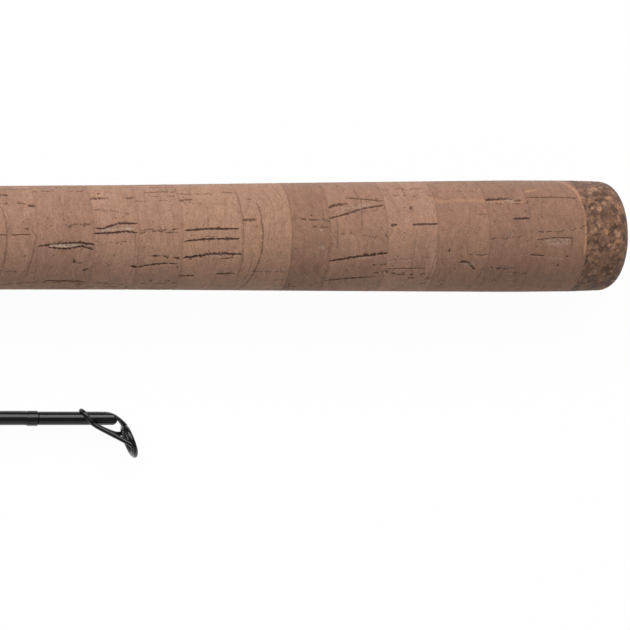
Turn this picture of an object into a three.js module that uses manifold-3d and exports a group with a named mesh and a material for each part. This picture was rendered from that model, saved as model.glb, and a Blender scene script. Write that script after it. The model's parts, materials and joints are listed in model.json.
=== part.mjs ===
// A two-piece spinning rod, taken apart, with its two sections lying side by side on a table.
// Millimetres, +Z up. The origin is the centre of the flat butt end. The butt section runs
// along -X, and a station is a distance from the butt end. In the tip section a station is
// the distance from the end of the tip-top's tube, and its guides point along -Y.
import * as THREE from "three";
import { mergeVertices } from "three/addons/utils/BufferGeometryUtils.js";
import Module from "manifold-3d";

const wasm = await Module();
wasm.setup();

// Clearances
const glueLine = 0.15;
const runningGap = 0.3;
const wrapSeat = 0.2;
const ferruleClearance = 0.1;
const floorClearance = 0.05;

// Rear grip: a composite cork cap and a stack of cork rings, turned to one taper
const capLength = 12.5;
const capCornerRadius = 4.2;
const capBoreDepth = 8;
const corkRingLengths = [
  14.7, 10.9, 13.2, 12.9, 14.5, 9.6, 12.4, 14.4, 10.7, 10.7, 13.4, 12.7, 12.7, 12.7, 12.7, 12.7,
];
const gripTaper = [
  { station: 4.2, diameter: 27.6 },
  { station: 12.5, diameter: 28.0 },
  { station: 27, diameter: 28.0 },
  { station: 45, diameter: 27.55 },
  { station: 82, diameter: 26.5 },
  { station: 124, diameter: 25.2 },
  { station: 157, diameter: 24.55 },
  { station: 214, diameter: 23.6 },
];

// Reel seat: a pipe with a flat bed for the reel foot, a keyway and an outside thread
const rearTrimLength = 3;
const seatLength = 122;
const seatFlangeLength = 3;
const seatBarrelDiameter = 21.8;
const seatBoreDiameter = 16.6;
const bedHeight = 9.2;
const bedRelief = 0.2;
const padStart = 29;
const padLength = 23;
const threadPitch = 4;
const threadDepth = 1;
const threadLength = 36;
const threadRootWidth = 2.4;
const threadCrestWidth = 1.2;
const threadSetIn = 0.6;
const seatNoseLength = 10;
const keywayWidth = 3;
const keywayDepth = 1.6;
const keywaySpare = 4;
const arborLength = 20;
const arborInset = 6;

// Hoods and lock nut
const footWidth = 13;
const footHeight = 4.6;
const pocketDepth = 14;
const hoodInsertWall = 1.3;
const hoodTopWall = 1.2;
const hoodShellWall = 0.7;
const hoodEndPlate = 1.2;
const fixedHoodLength = 24;
const movingHoodLength = 26;
const hoodTravel = 18;
const hoodLugLength = 8;
const nutBodyLength = 13.5;
const nutNeckLength = 2.5;
const nutNeckWall = 0.8;
const nutDiameter = 26.4;
const nutFluteCount = 18;
const nutFluteDepth = 0.5;

// Foregrip: three cork rings and a composite trim ring, then a winding check
const foreRingLengths = [12.7, 12.7, 12.7];
const foreTrimLength = 6.35;
const foreTaper = [
  { station: 0, diameter: 23.0 },
  { station: 19, diameter: 22.2 },
  { station: 38.1, diameter: 18.6 },
  { station: 44.45, diameter: 17.2 },
];
const checkLength = 3;
const checkDiameter = 15.2;

// Butt blank: a hollow carbon tube that ends in the male half of the ferrule
const buttBlankStart = 5;
const buttBlankEnd = 1020;
const buttBlankDiameter = 12.5;
const ferruleTopDiameter = 7.2;
const ferruleEndDiameter = 6.6;
const ferruleLength = 65;
const blankWall = 1;

// Tip blank, its ferrule socket and where the section lies on the table
const tipBlankLength = 1010;
const tipBaseDiameter = 8.8;
const tipBlankDiameter = 2.3;
const ferruleWrapLength = 22;
const tipTubeEnd = new THREE.Vector2(-126.7, -43.6);
const tipYaw = THREE.MathUtils.degToRad(1.3);
const tipRoll = THREE.MathUtils.degToRad(6);

// Hook keeper
const keeperStation = 402;
const keeperWire = 1.2;
const keeperLoop = 5.8;
const keeperFoot = 9;
const keeperReach = 5;

// Wraps: wound thread under a skin of epoxy
const wrapSkin = 0.45;
const wrapOverFoot = 0.65;
const heelShow = 1;
const wrapPastToe = 2;

// Guides. The size is that of the ring, the height is from the blank's axis to the ring's centre.
// Along the tip blank they keep their shares of its length.
const stripperGuide = {
  station: 790,
  ringDiameter: 27.8,
  boreDiameter: 19.4,
  height: 26,
  bandWidth: 3.2,
  legReach: 17,
  footLength: 16,
  footWidth: 3.6,
  wire: 1.5,
};
const firstTipGuide = {
  station: 0.896 * tipBlankLength,
  ringDiameter: 18.4,
  boreDiameter: 12.6,
  height: 18,
  bandWidth: 2.6,
  legReach: 12,
  footLength: 13,
  footWidth: 3,
  wire: 1.3,
};
const singleFootGuides = [
  { name: "guide12", share: 0.653, ringDiameter: 13.8, boreDiameter: 9.4, height: 13.2 },
  { name: "guide10", share: 0.45, ringDiameter: 11.6, boreDiameter: 7.6, height: 11 },
  { name: "guide8_inner", share: 0.282, ringDiameter: 9.4, boreDiameter: 5.5, height: 8.8 },
  { name: "guide8_outer", share: 0.134, ringDiameter: 9.4, boreDiameter: 5.5, height: 8.2 },
];
const singleFoot = { bandWidth: 2, legReach: 5, footLength: 10, footWidth: 1.8, wire: 1.1 };
const footThickness = 0.7;
const toeThickness = 0.25;
const frontLegSpread = 24;
const rearLegSpread = 62;
const insertShare = 0.58;
const insertProud = 0.2;
const bandCrown = 0.3;

// Tip-top: a tube over the blank, a tilted ring, a tongue and a wire that crosses over the tube
const tubeDiameter = 3.1;
const tubeLength = 19.5;
const tubeBoreDepth = 18.5;
const tubeBoreGrowth = 0.1;
const tipRingDiameter = 8.9;
const tipBoreDiameter = 5.3;
const tipBandWidth = 1.1;
const tipRingAhead = 3;
const tipRingDrop = 5.6;
const tipRingLean = THREE.MathUtils.degToRad(18.5);
const tipWire = 1.15;
const crossingBack = 8.9;
const tongueWidth = 2.4;
const tongueThickness = 1.1;
const tipWrapLength = 34;
const tipWrapDiameter = 3.3;
const tipCollarDiameter = 3.5;
const tipCollarLength = 2.6;

// Facets
const gripSides = 20;
const seatSides = 16;
const blankSides = 16;
const hoodSides = 28;
const wrapSides = 16;

// Materials
const finish = (color, roughness, metalness = 0) =>
  new THREE.MeshStandardMaterial({ color, roughness, metalness });
const materials = {
  cork: finish(0xa57f69, 0.82),
  compositeCork: finish(0x80604e, 0.85),
  carbon: finish(0x17181a, 0.22),
  wrap: finish(0x141416, 0.12),
  frame: finish(0x1b1b1d, 0.3, 0.7),
  ceramic: finish(0x2b2c2e, 0.12),
  seat: finish(0x1d1e20, 0.45),
  hood: finish(0x2a2b2e, 0.28, 0.9),
  liner: finish(0x101011, 0.6),
  nut: finish(0x232427, 0.4, 0.6),
  trim: finish(0x5b5d60, 0.3, 0.95),
  arbor: finish(0xb9b3a6, 0.8),
};

// Solids and booleans
function toSolid(geometry) {
  const bare = geometry.index ? geometry.toNonIndexed() : geometry.clone();
  bare.deleteAttribute("normal");
  bare.deleteAttribute("uv");
  const merged = mergeVertices(bare, 1e-4);
  return new wasm.Manifold(
    new wasm.Mesh({
      numProp: 3,
      vertProperties: new Float32Array(merged.attributes.position.array),
      triVerts: new Uint32Array(merged.index.array),
    }),
  );
}

function toGeometry(solid) {
  const mesh = solid.getMesh();
  const geometry = new THREE.BufferGeometry();
  geometry.setAttribute("position", new THREE.BufferAttribute(mesh.vertProperties, 3));
  geometry.setIndex(new THREE.BufferAttribute(mesh.triVerts, 1));
  return geometry;
}

const joined = (first, ...others) =>
  toGeometry(others.reduce((solid, other) => solid.add(toSolid(other)), toSolid(first)));
const cut = (first, ...others) =>
  toGeometry(others.reduce((solid, other) => solid.subtract(toSolid(other)), toSolid(first)));

// A turned shape about the X axis from points of radius and station
function turned(points, sides) {
  const profile = points.map(([radius, station]) => new THREE.Vector2(radius, station));
  return new THREE.LatheGeometry(profile, sides).rotateZ(Math.PI / 2);
}

// A turned sleeve between rows of station, outer radius and inner radius
function sleeve(rows, sides) {
  const outside = rows.map(([station, outer]) => [outer, station]);
  const inside = rows.map(([station, , inner]) => [inner, station]).reverse();
  return turned([...outside, ...inside, outside[0]], sides);
}

const plug = (radius, from, to, sides) =>
  turned(
    [
      [0, from],
      [radius, from],
      [radius, to],
      [0, to],
    ],
    sides,
  );

// A box between two stations, two heights along Y and a width across Z
function block(from, to, low, high, width) {
  const box = new THREE.BoxGeometry(to - from, high - low, width);
  return box.translate(-(from + to) / 2, (low + high) / 2, 0);
}

// A closed shape about the X axis whose radius changes with the angle from +Y
function polarSolid(stations, sides, radiusAt) {
  const positions = [];
  const index = [];
  for (const station of stations) {
    for (let side = 0; side < sides; side += 1) {
      const angle = (2 * Math.PI * side) / sides;
      const radius = radiusAt(station, Math.min(angle, 2 * Math.PI - angle));
      positions.push(-station, radius * Math.cos(angle), radius * Math.sin(angle));
    }
  }
  const firstCentre = stations.length * sides;
  const lastRow = firstCentre - sides;
  positions.push(-stations[0], 0, 0, -stations.at(-1), 0, 0);
  for (let side = 0; side < sides; side += 1) {
    const next = (side + 1) % sides;
    for (let near = 0; near < lastRow; near += sides) {
      const far = near + sides;
      index.push(near + side, far + side, far + next);
      index.push(near + side, far + next, near + next);
    }
    index.push(firstCentre, side, next);
    index.push(firstCentre + 1, lastRow + next, lastRow + side);
  }
  const geometry = new THREE.BufferGeometry();
  geometry.setAttribute("position", new THREE.Float32BufferAttribute(positions, 3));
  geometry.setIndex(index);
  return geometry;
}

// A round bar between two points
function bar(from, to, diameter, sides = 6) {
  const along = new THREE.Vector3().subVectors(to, from);
  const shape = new THREE.CylinderGeometry(diameter / 2, diameter / 2, along.length(), sides);
  const up = new THREE.Vector3(0, 1, 0);
  const turn = new THREE.Quaternion().setFromUnitVectors(up, along.clone().normalize());
  const middle = new THREE.Vector3().addVectors(from, to).multiplyScalar(0.5);
  return shape.applyQuaternion(turn).translate(middle.x, middle.y, middle.z);
}

// A bent wire through points
function bentWire(points, diameter, steps, sides = 6) {
  const section = new THREE.Shape(
    Array.from({ length: sides }, (_, side) => {
      const angle = (2 * Math.PI * side) / sides;
      return new THREE.Vector2(Math.cos(angle), Math.sin(angle)).multiplyScalar(diameter / 2);
    }),
  );
  const extrudePath = new THREE.CatmullRomCurve3(points);
  return new THREE.ExtrudeGeometry(section, { steps, bevelEnabled: false, extrudePath });
}

// The radius at a station, from rows of station and diameter
function radiusFrom(rows, station) {
  const next = rows.findIndex((row) => row.station >= station);
  const high = rows[next < 0 ? rows.length - 1 : Math.max(next, 1)];
  const low = rows[rows.indexOf(high) - 1];
  const share = (station - low.station) / (high.station - low.station);
  return THREE.MathUtils.lerp(low.diameter, high.diameter, share) / 2;
}

const rod = new THREE.Group();
const buttSection = new THREE.Group();
const tipSection = new THREE.Group();
rod.add(buttSection, tipSection);

function addPiece(section, name, geometry, material) {
  const piece = new THREE.Mesh(geometry, material);
  piece.name = name;
  section.add(piece);
  return piece;
}

// Stations along the butt section
const corkRingEnds = corkRingLengths.reduce(
  (ends, length) => [...ends, ends.at(-1) + length],
  [capLength],
);
const rearTrimStart = corkRingEnds.at(-1);
const seatStart = rearTrimStart + rearTrimLength;
const seatEnd = seatStart + seatLength;
const fixedHoodStart = seatStart + seatFlangeLength;
const fixedHoodMouth = fixedHoodStart + fixedHoodLength;
const threadEnd = seatEnd - seatNoseLength;
const threadStart = threadEnd - threadLength;
const nutBodyStart = threadEnd - nutBodyLength;
const movingHoodEnd = nutBodyStart - runningGap;
const movingHoodMouth = movingHoodEnd - movingHoodLength;
const foreEnds = foreRingLengths.reduce((ends, length) => [...ends, ends.at(-1) + length], [0]);

const buttBlankRows = [
  { station: 0, diameter: buttBlankDiameter },
  { station: buttBlankEnd - ferruleLength, diameter: ferruleTopDiameter },
  { station: buttBlankEnd, diameter: ferruleEndDiameter },
];
const buttBlankRadius = (station) => radiusFrom(buttBlankRows, station);
const gripRadius = (station) => radiusFrom(gripTaper, station);
const boreRadius = (station) => buttBlankRadius(station) + glueLine;

// Butt cap: a rounded corner, a flat end and a blind bore for the blank
function buttCap() {
  const corner = Array.from({ length: 7 }, (_, step) => {
    const angle = (Math.PI / 2) * (step / 6);
    const flat = gripRadius(capCornerRadius) - capCornerRadius;
    return [flat + capCornerRadius * Math.sin(angle), capCornerRadius * (1 - Math.cos(angle))];
  });
  const boreEnd = capLength - capBoreDepth;
  return turned(
    [
      [0, 0],
      ...corner,
      [gripRadius(capLength), capLength],
      [boreRadius(capLength), capLength],
      [boreRadius(capLength), boreEnd],
      [0, boreEnd],
    ],
    gripSides,
  );
}

// A ring that is threaded on the blank, from its outer taper
function ringOnBlank(from, to, outerRadius) {
  return sleeve(
    [
      [from, outerRadius(from), boreRadius(from)],
      [to, outerRadius(to), boreRadius(to)],
    ],
    gripSides,
  );
}

addPiece(buttSection, "butt_cap", buttCap(), materials.compositeCork);
corkRingLengths.forEach((_, ring) => {
  const shape = ringOnBlank(corkRingEnds[ring], corkRingEnds[ring + 1], gripRadius);
  addPiece(buttSection, `rear_cork_${String(ring + 1).padStart(2, "0")}`, shape, materials.cork);
});

// The trim ring's rim stands a little proud of the grip
const rearTrim = ringOnBlank(rearTrimStart, seatStart, () => gripRadius(rearTrimStart));
addPiece(buttSection, "rear_trim_ring", rearTrim, materials.trim);

// A helical ridge about the X axis, right-handed, whose turns keep step with the seat's thread.
// It stands outwards where its crest is wider than its base, and inwards where it is narrower.
function helicalRidge({ base, crest, from, to, offset = 0 }) {
  const way = Math.sign(crest - base);
  const steps = (station) => ((station - threadStart - offset) / threadPitch) * seatSides;
  const first = Math.ceil(steps(from + threadRootWidth / 2));
  const last = Math.floor(steps(to - threadRootWidth / 2));
  const positions = [];
  const index = [];
  for (let step = first; step <= last; step += 1) {
    const angle = (-2 * Math.PI * (step + 0.5)) / seatSides;
    const station = threadStart + offset + (threadPitch * step) / seatSides;
    for (const [radius, shift] of [
      [base, -threadRootWidth / 2],
      [crest, -threadCrestWidth / 2],
      [crest, threadCrestWidth / 2],
      [base, threadRootWidth / 2],
    ]) {
      const x = -(station + way * shift);
      positions.push(x, radius * Math.cos(angle), radius * Math.sin(angle));
    }
  }
  const sections = last - first;
  for (let section = 0; section < sections; section += 1) {
    for (let edge = 0; edge < 4; edge += 1) {
      const near = section * 4 + edge;
      const beside = section * 4 + ((edge + 1) % 4);
      index.push(near, beside + 4, beside, near, near + 4, beside + 4);
    }
  }
  const end = sections * 4;
  index.push(0, 1, 2, 0, 2, 3, end, end + 2, end + 1, end, end + 3, end + 2);
  const geometry = new THREE.BufferGeometry();
  geometry.setAttribute("position", new THREE.Float32BufferAttribute(positions, 3));
  geometry.setIndex(index);
  return geometry;
}

// Reel seat body
const barrelRadius = seatBarrelDiameter / 2;
const threadRoot = barrelRadius - threadDepth;
const seatBore = seatBoreDiameter / 2;
const flangeRadius = gripRadius(rearTrimStart);
const bedFloor = bedHeight - bedRelief;
const padBegin = seatStart + padStart;
const padFinish = padBegin + padLength;

function seatBody() {
  const pipe = turned(
    [
      [seatBore, seatStart],
      [flangeRadius, seatStart],
      [flangeRadius, fixedHoodStart],
      [barrelRadius, fixedHoodStart],
      [barrelRadius, threadStart],
      [threadRoot, threadStart],
      [threadRoot, seatEnd],
      [seatBore, seatEnd],
      [seatBore, seatStart],
    ],
    seatSides,
  );
  const thread = helicalRidge({
    base: threadRoot - threadSetIn,
    crest: barrelRadius,
    from: threadStart,
    to: threadEnd,
  });
  const beyond = barrelRadius + 1;
  const bedStart = fixedHoodMouth - pocketDepth;
  const rearBed = block(bedStart, padBegin, bedFloor, beyond, 2 * beyond);
  const pad = block(padBegin, padFinish, bedHeight, beyond, 2 * beyond);
  const frontBed = block(padFinish, threadEnd, bedFloor, beyond, 2 * beyond);
  const keywayFloor = barrelRadius - keywayDepth;
  const keywayStart = movingHoodMouth - hoodTravel - keywaySpare;
  const keyway = block(keywayStart, seatEnd + 1, -beyond, -keywayFloor, keywayWidth);
  return cut(joined(pipe, thread), rearBed, pad, frontBed, keyway);
}
addPiece(buttSection, "reel_seat_body", seatBody(), materials.seat);

const arborAt = (from) =>
  sleeve(
    [
      [from, seatBore - glueLine, boreRadius(from)],
      [from + arborLength, seatBore - glueLine, boreRadius(from + arborLength)],
    ],
    seatSides,
  );
const rearArbor = arborAt(seatStart + arborInset);
const frontArbor = arborAt(seatEnd - arborInset - arborLength);
addPiece(buttSection, "rear_arbor", rearArbor, materials.arbor);
addPiece(buttSection, "front_arbor", frontArbor, materials.arbor);

// Hoods. Each is a thin shell round a liner, with a pocket for the end of the reel foot.
// Built with the mouth at station 0, then placed with the mouth facing either way.
const linerInner = barrelRadius + runningGap;
const linerOuter = linerInner + hoodInsertWall;
const pocketTop = bedHeight + footHeight;
const linerTop = pocketTop + hoodTopWall;
const linerSide = footWidth / 2 + hoodTopWall;

// How far the bulge over the pocket has sunk at a depth, as a share: none at the mouth
function bulgeAt(depth, length) {
  const share = Math.max(0, depth / length - 0.55) / 0.45;
  return 1 - 0.55 * share * share;
}

function hoodForm(stations, length, offset) {
  return polarSolid(stations, hoodSides, (depth, angle) => {
    const round = linerOuter + offset;
    const rise = (linerTop - linerOuter) * bulgeAt(depth, length);
    if (angle >= Math.PI / 2) {
      return round;
    }
    const top = (linerOuter + rise + offset) / Math.cos(angle);
    const side = (linerSide + offset) / Math.max(Math.sin(angle), 0.01);
    return Math.max(round, Math.min(top, side));
  });
}

const hoodStations = (length) => [0, 0.55 * length, 0.8 * length, length];

function hoodShell(length, endBore) {
  const outer = hoodForm(hoodStations(length), length, glueLine + hoodShellWall);
  const cavityEnd = length - hoodEndPlate;
  const hollow = hoodForm([-1, 0.55 * length, 0.8 * length, cavityEnd], length, glueLine);
  return cut(outer, hollow, plug(endBore, cavityEnd - 1, length + 1, seatSides));
}

function hoodLiner(linerLength, hoodLength, bore) {
  const stations = [0, 0.55 * hoodLength, 0.8 * hoodLength, linerLength];
  const body = hoodForm(stations, hoodLength, 0);
  const pocket = block(-1, pocketDepth, bedFloor, pocketTop, footWidth);
  return cut(body, plug(bore, -1, linerLength + 1, seatSides), pocket);
}

// A shape built from station 0 on is moved so that its mouth is at a station
const facingForward = (shape, mouth) => shape.rotateY(Math.PI).translate(-mouth, 0, 0);
const facingBack = (shape, mouth) => shape.translate(-mouth, 0, 0);

const fixedBore = barrelRadius + glueLine;
const fixedShell = hoodShell(fixedHoodLength - glueLine, fixedBore);
const fixedLinerLength = fixedHoodLength - hoodEndPlate - runningGap;
const fixedLiner = hoodLiner(fixedLinerLength, fixedHoodLength, fixedBore);
addPiece(buttSection, "fixed_hood", facingForward(fixedShell, fixedHoodMouth), materials.hood);
addPiece(
  buttSection,
  "fixed_hood_liner",
  facingForward(fixedLiner, fixedHoodMouth),
  materials.liner,
);

const nutBore = linerInner / Math.cos(Math.PI / seatSides);
const neckRadius = nutBore + nutNeckWall;
const movingShell = hoodShell(movingHoodLength, neckRadius + runningGap);
const movingLinerLength = movingHoodLength - nutNeckLength - 2 * runningGap;
const lug = block(
  0,
  hoodLugLength,
  -(linerInner + glueLine),
  -(barrelRadius - keywayDepth + runningGap),
  keywayWidth - 2 * runningGap,
);
const movingLiner = joined(hoodLiner(movingLinerLength, movingHoodLength, linerInner), lug);
addPiece(buttSection, "moving_hood", facingBack(movingShell, movingHoodMouth), materials.hood);
addPiece(
  buttSection,
  "moving_hood_liner",
  facingBack(movingLiner, movingHoodMouth),
  materials.liner,
);

// Lock nut: a fluted body, a neck that turns inside the moving hood, and an inside thread
function lockNut() {
  const half = nutDiameter / 2;
  const outline = Array.from({ length: nutFluteCount * 3 }, (_, point) => {
    const angle = (2 * Math.PI * point) / (nutFluteCount * 3);
    const radius = point % 3 === 0 ? half - nutFluteDepth : half;
    return new THREE.Vector2(radius * Math.cos(angle), radius * Math.sin(angle));
  });
  const grip = new THREE.ExtrudeGeometry(new THREE.Shape(outline), {
    depth: nutBodyLength,
    bevelEnabled: false,
  });
  const body = grip.rotateY(-Math.PI / 2).translate(-nutBodyStart, 0, 0);
  const neckStart = nutBodyStart - nutNeckLength;
  const neck = plug(neckRadius, neckStart, nutBodyStart + 1, seatSides);
  const through = plug(nutBore, neckStart - 1, threadEnd + 1, seatSides);
  const ridge = helicalRidge({
    base: nutBore + threadSetIn,
    crest: (threadRoot + runningGap) / Math.cos(Math.PI / seatSides),
    from: nutBodyStart,
    to: threadEnd,
    offset: threadPitch / 2,
  });
  return joined(cut(joined(body, neck), through), ridge);
}
addPiece(buttSection, "lock_nut", lockNut(), materials.nut);

// Foregrip
const foreRadius = (station) => radiusFrom(foreTaper, station - seatEnd);
foreRingLengths.forEach((_, ring) => {
  const shape = ringOnBlank(seatEnd + foreEnds[ring], seatEnd + foreEnds[ring + 1], foreRadius);
  addPiece(buttSection, `fore_cork_${ring + 1}`, shape, materials.cork);
});
const foreTrimStart = seatEnd + foreEnds.at(-1);
const checkStart = foreTrimStart + foreTrimLength;
const foreTrim = ringOnBlank(foreTrimStart, checkStart, foreRadius);
addPiece(buttSection, "fore_trim_ring", foreTrim, materials.compositeCork);
const checkEnd = checkStart + checkLength;
const windingCheck = ringOnBlank(checkStart, checkEnd, (station) =>
  station === checkStart ? checkDiameter / 2 : checkDiameter / 2 - checkLength / 4,
);
addPiece(buttSection, "winding_check", windingCheck, materials.trim);

// Butt blank
const buttBore = (station) => buttBlankRadius(station) - blankWall;
const maleStart = buttBlankEnd - ferruleLength;
const buttBlank = sleeve(
  [buttBlankStart, maleStart, buttBlankEnd].map((station) => [
    station,
    buttBlankRadius(station),
    buttBore(station),
  ]),
  blankSides,
);
addPiece(buttSection, "butt_blank", buttBlank, materials.carbon);

// Tip blank: solid towards the tip, with the ferrule socket in its thick end
const tipBlankEnd = tubeLength - tubeBoreDepth;
const socketMouth = tipBlankEnd + tipBlankLength;
const tipBlankRows = [
  { station: tipBlankEnd, diameter: tipBlankDiameter },
  { station: socketMouth, diameter: tipBaseDiameter },
];
const tipBlankRadius = (station) => radiusFrom(tipBlankRows, station);
const socketRadius = (depth) => buttBlankRadius(maleStart + depth) + ferruleClearance;

function tipBlank() {
  const wrapStart = socketMouth - ferruleWrapLength;
  return turned(
    [
      [0, tipBlankEnd],
      [tipBlankRadius(tipBlankEnd), tipBlankEnd],
      [tipBlankRadius(wrapStart), wrapStart],
      [tipBlankRadius(socketMouth), socketMouth],
      [socketRadius(0), socketMouth],
      [socketRadius(ferruleLength), socketMouth - ferruleLength],
      [0, socketMouth - ferruleLength - 1],
    ],
    blankSides,
  );
}
addPiece(tipSection, "tip_blank", tipBlank(), materials.carbon);

// A wrap on a round blank, from one station to the other, with rounded ends of epoxy
function plainWrap(from, to, radiusAt) {
  const edge = wrapSkin;
  return sleeve(
    [
      [from, radiusAt(from) + wrapSeat + wrapSkin / 2, radiusAt(from) + wrapSeat],
      [from + edge, radiusAt(from) + wrapSeat + wrapSkin, radiusAt(from) + wrapSeat],
      [to - edge, radiusAt(to) + wrapSeat + wrapSkin, radiusAt(to) + wrapSeat],
      [to, radiusAt(to) + wrapSeat + wrapSkin / 2, radiusAt(to) + wrapSeat],
    ],
    blankSides,
  );
}
const ferruleWrap = plainWrap(socketMouth - ferruleWrapLength, socketMouth - 1, tipBlankRadius);
addPiece(tipSection, "ferrule_wrap", ferruleWrap, materials.wrap);

// A guide foot: a wedge that lies on the blank between two stations, thick end first
function guideFoot(heel, toe, rest, width) {
  const outline = new THREE.Shape([
    new THREE.Vector2(-heel, rest),
    new THREE.Vector2(-toe, rest),
    new THREE.Vector2(-toe, rest + toeThickness),
    new THREE.Vector2(-heel, rest + footThickness),
  ]);
  const wedge = new THREE.ExtrudeGeometry(outline, { depth: width, bevelEnabled: false });
  return wedge.translate(0, 0, -width / 2);
}

// A wrap over a guide foot: an off-centre round that takes in the blank and the foot on it
function footWrap(heel, toe, radiusAt, rest, room) {
  const start = Math.min(heel, toe);
  const finish = Math.max(heel, toe);
  const stations = [start, start + wrapSkin, finish - wrapSkin, finish];
  const body = polarSolid(stations, wrapSides, (station, angle) => {
    const thinning = station === start || station === finish ? wrapSkin / 2 : 0;
    const share = (station - heel) / (toe - heel);
    const foot = THREE.MathUtils.lerp(footThickness, toeThickness, share);
    const below = radiusAt(station) + wrapSeat + wrapSkin - thinning;
    const above = rest + foot + wrapSeat + wrapOverFoot - thinning;
    const offCentre = (above - below) / 2;
    const radius = (above + below) / 2;
    const across = offCentre * Math.sin(angle);
    return offCentre * Math.cos(angle) + Math.sqrt(radius * radius - across * across);
  });
  return cut(body, sleeveCore(start - 1, finish + 1, radiusAt), room);
}

// The room that a blank takes up inside a wrap
const sleeveCore = (from, to, radiusAt) =>
  turned(
    [
      [0, from],
      [radiusAt(from) + wrapSeat, from],
      [radiusAt(to) + wrapSeat, to],
      [0, to],
    ],
    blankSides,
  );

// The room that a foot takes up inside a wrap: the foot, larger by the seat all round
function footRoom(heel, toe, rest, width) {
  const along = Math.sign(toe - heel);
  const outline = new THREE.Shape([
    new THREE.Vector2(-(heel - along * 2), 0),
    new THREE.Vector2(-(toe + along * wrapSeat), 0),
    new THREE.Vector2(-(toe + along * wrapSeat), rest + toeThickness + wrapSeat),
    new THREE.Vector2(-(heel - along * 2), rest + footThickness + wrapSeat),
  ]);
  const span = width + 2 * wrapSeat;
  const room = new THREE.ExtrudeGeometry(outline, { depth: span, bevelEnabled: false });
  return room.translate(0, 0, -span / 2);
}

// A guide's ring is a ceramic insert in a band. The seam between them is at this radius.
const seamRadius = (guide) =>
  THREE.MathUtils.lerp(guide.boreDiameter, guide.ringDiameter, insertShare) / 2;
const ringSides = (guide) => (guide.ringDiameter > 16 ? 20 : 16);

// The band: highest in the middle of its width
function ringBand(guide) {
  const half = guide.bandWidth / 2;
  const outer = guide.ringDiameter / 2;
  const inner = seamRadius(guide);
  const edge = outer - bandCrown;
  return sleeve(
    [
      [-half, edge, inner],
      [0, outer, inner],
      [half, edge, inner],
    ],
    ringSides(guide),
  );
}

// The insert: rounded on the inside, where the line runs
function ceramicRing(guide) {
  const half = guide.bandWidth / 2 + insertProud;
  const outer = seamRadius(guide) - wrapSeat;
  const inner = guide.boreDiameter / 2;
  const flare = (outer - inner) / 2;
  return sleeve(
    [
      [-half, outer, inner + flare],
      [0, outer, inner],
      [half, outer, inner + flare],
    ],
    ringSides(guide),
  );
}

// The room inside a band, which its legs don't reach into
const bandRoom = (guide) =>
  plug(seamRadius(guide), -guide.bandWidth, guide.bandWidth, ringSides(guide));

// A point on the middle of a band, at an angle from its lowest point
function onBand(guide, degrees) {
  const angle = THREE.MathUtils.degToRad(degrees);
  const radius = (guide.ringDiameter / 2 + seamRadius(guide)) / 2;
  return new THREE.Vector3(0, guide.height - radius * Math.cos(angle), radius * Math.sin(angle));
}

// A guide stands on +Y at station 0 of its own frame, with the rod's tip towards -X.
// The rest is how high its feet lie over the blank's axis.
function doubleFootFrame(guide, rest) {
  const legs = [];
  const feet = [];
  const footMiddle = rest + footThickness / 2;
  for (const way of [-1, 1]) {
    const spread = way < 0 ? frontLegSpread : rearLegSpread;
    const heel = new THREE.Vector3(way * guide.legReach, footMiddle, 0);
    for (const side of [-1, 1]) {
      const knee = heel.clone().add(new THREE.Vector3(0, 0, (side * guide.footWidth) / 4));
      legs.push(bar(onBand(guide, side * spread), knee, guide.wire));
    }
    const toe = guide.legReach + guide.footLength;
    feet.push(guideFoot(-way * (guide.legReach - guide.wire), -way * toe, rest, guide.footWidth));
  }
  const band = ringBand(guide).translate(0, guide.height, 0);
  const underfoot = block(-guide.legReach - 9, guide.legReach + 9, 0, rest, guide.ringDiameter);
  const room = bandRoom(guide).translate(0, guide.height, 0);
  return cut(joined(band, ...legs, ...feet), underfoot, room);
}

// A single foot reaches towards the rod's tip, and its two legs meet at the heel
function singleFootFrame(guide, rest) {
  const heel = new THREE.Vector3(-guide.legReach, rest + footThickness / 2, 0);
  const legs = [-1, 1].map((side) => bar(onBand(guide, side * rearLegSpread), heel, guide.wire));
  const toe = guide.legReach + guide.footLength;
  const foot = guideFoot(guide.legReach - guide.wire / 2, toe, rest, guide.footWidth);
  const band = ringBand(guide).translate(0, guide.height, 0);
  const underfoot = block(-9, guide.legReach + 9, 0, rest, guide.ringDiameter);
  const room = bandRoom(guide).translate(0, guide.height, 0);
  return cut(joined(band, ...legs, foot), underfoot, room);
}

// Places a guide's frame and ring on a section. The tip of the rod is towards -X on the butt
// section and towards +X on the tip section, where the guides hang on the -Y side.
function placeGuide(section, name, guide, shape, turn) {
  const ring = ceramicRing(guide).translate(0, guide.height, 0);
  addPiece(section, `${name}_frame`, shape, materials.frame);
  addPiece(section, `${name}_ring`, ring, materials.ceramic);
  for (const geometry of [shape, ring]) {
    geometry.rotateZ(turn).translate(-guide.station, 0, 0);
  }
}

// A wrap over one foot of a placed guide. Heel and toe are stations on the section.
function placeWrap(section, name, heel, toe, radiusAt, rest, width, turn) {
  const room = footRoom(heel, toe, rest, width);
  const shape = footWrap(heel, toe, radiusAt, rest, room);
  const middle = (heel + toe) / 2;
  const turned = shape.translate(middle, 0, 0).rotateX(turn).translate(-middle, 0, 0);
  addPiece(section, name, turned, materials.wrap);
}

// The wrap starts a little past the heel and ends just past the toe
function wrapDoubleFoot(section, name, guide, radiusAt, rest, turn) {
  for (const [label, way] of [
    ["rear", turn ? 1 : -1],
    ["front", turn ? -1 : 1],
  ]) {
    const heel = guide.station + way * (guide.legReach + heelShow);
    const toe = guide.station + way * (guide.legReach + guide.footLength + wrapPastToe);
    placeWrap(section, `${name}_${label}_wrap`, heel, toe, radiusAt, rest, guide.footWidth, turn);
  }
}

// A foot is flat, so it rests where the blank under it is thickest
const restOver = (radiusAt, stations) => Math.max(...stations.map(radiusAt)) + wrapSeat;

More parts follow.
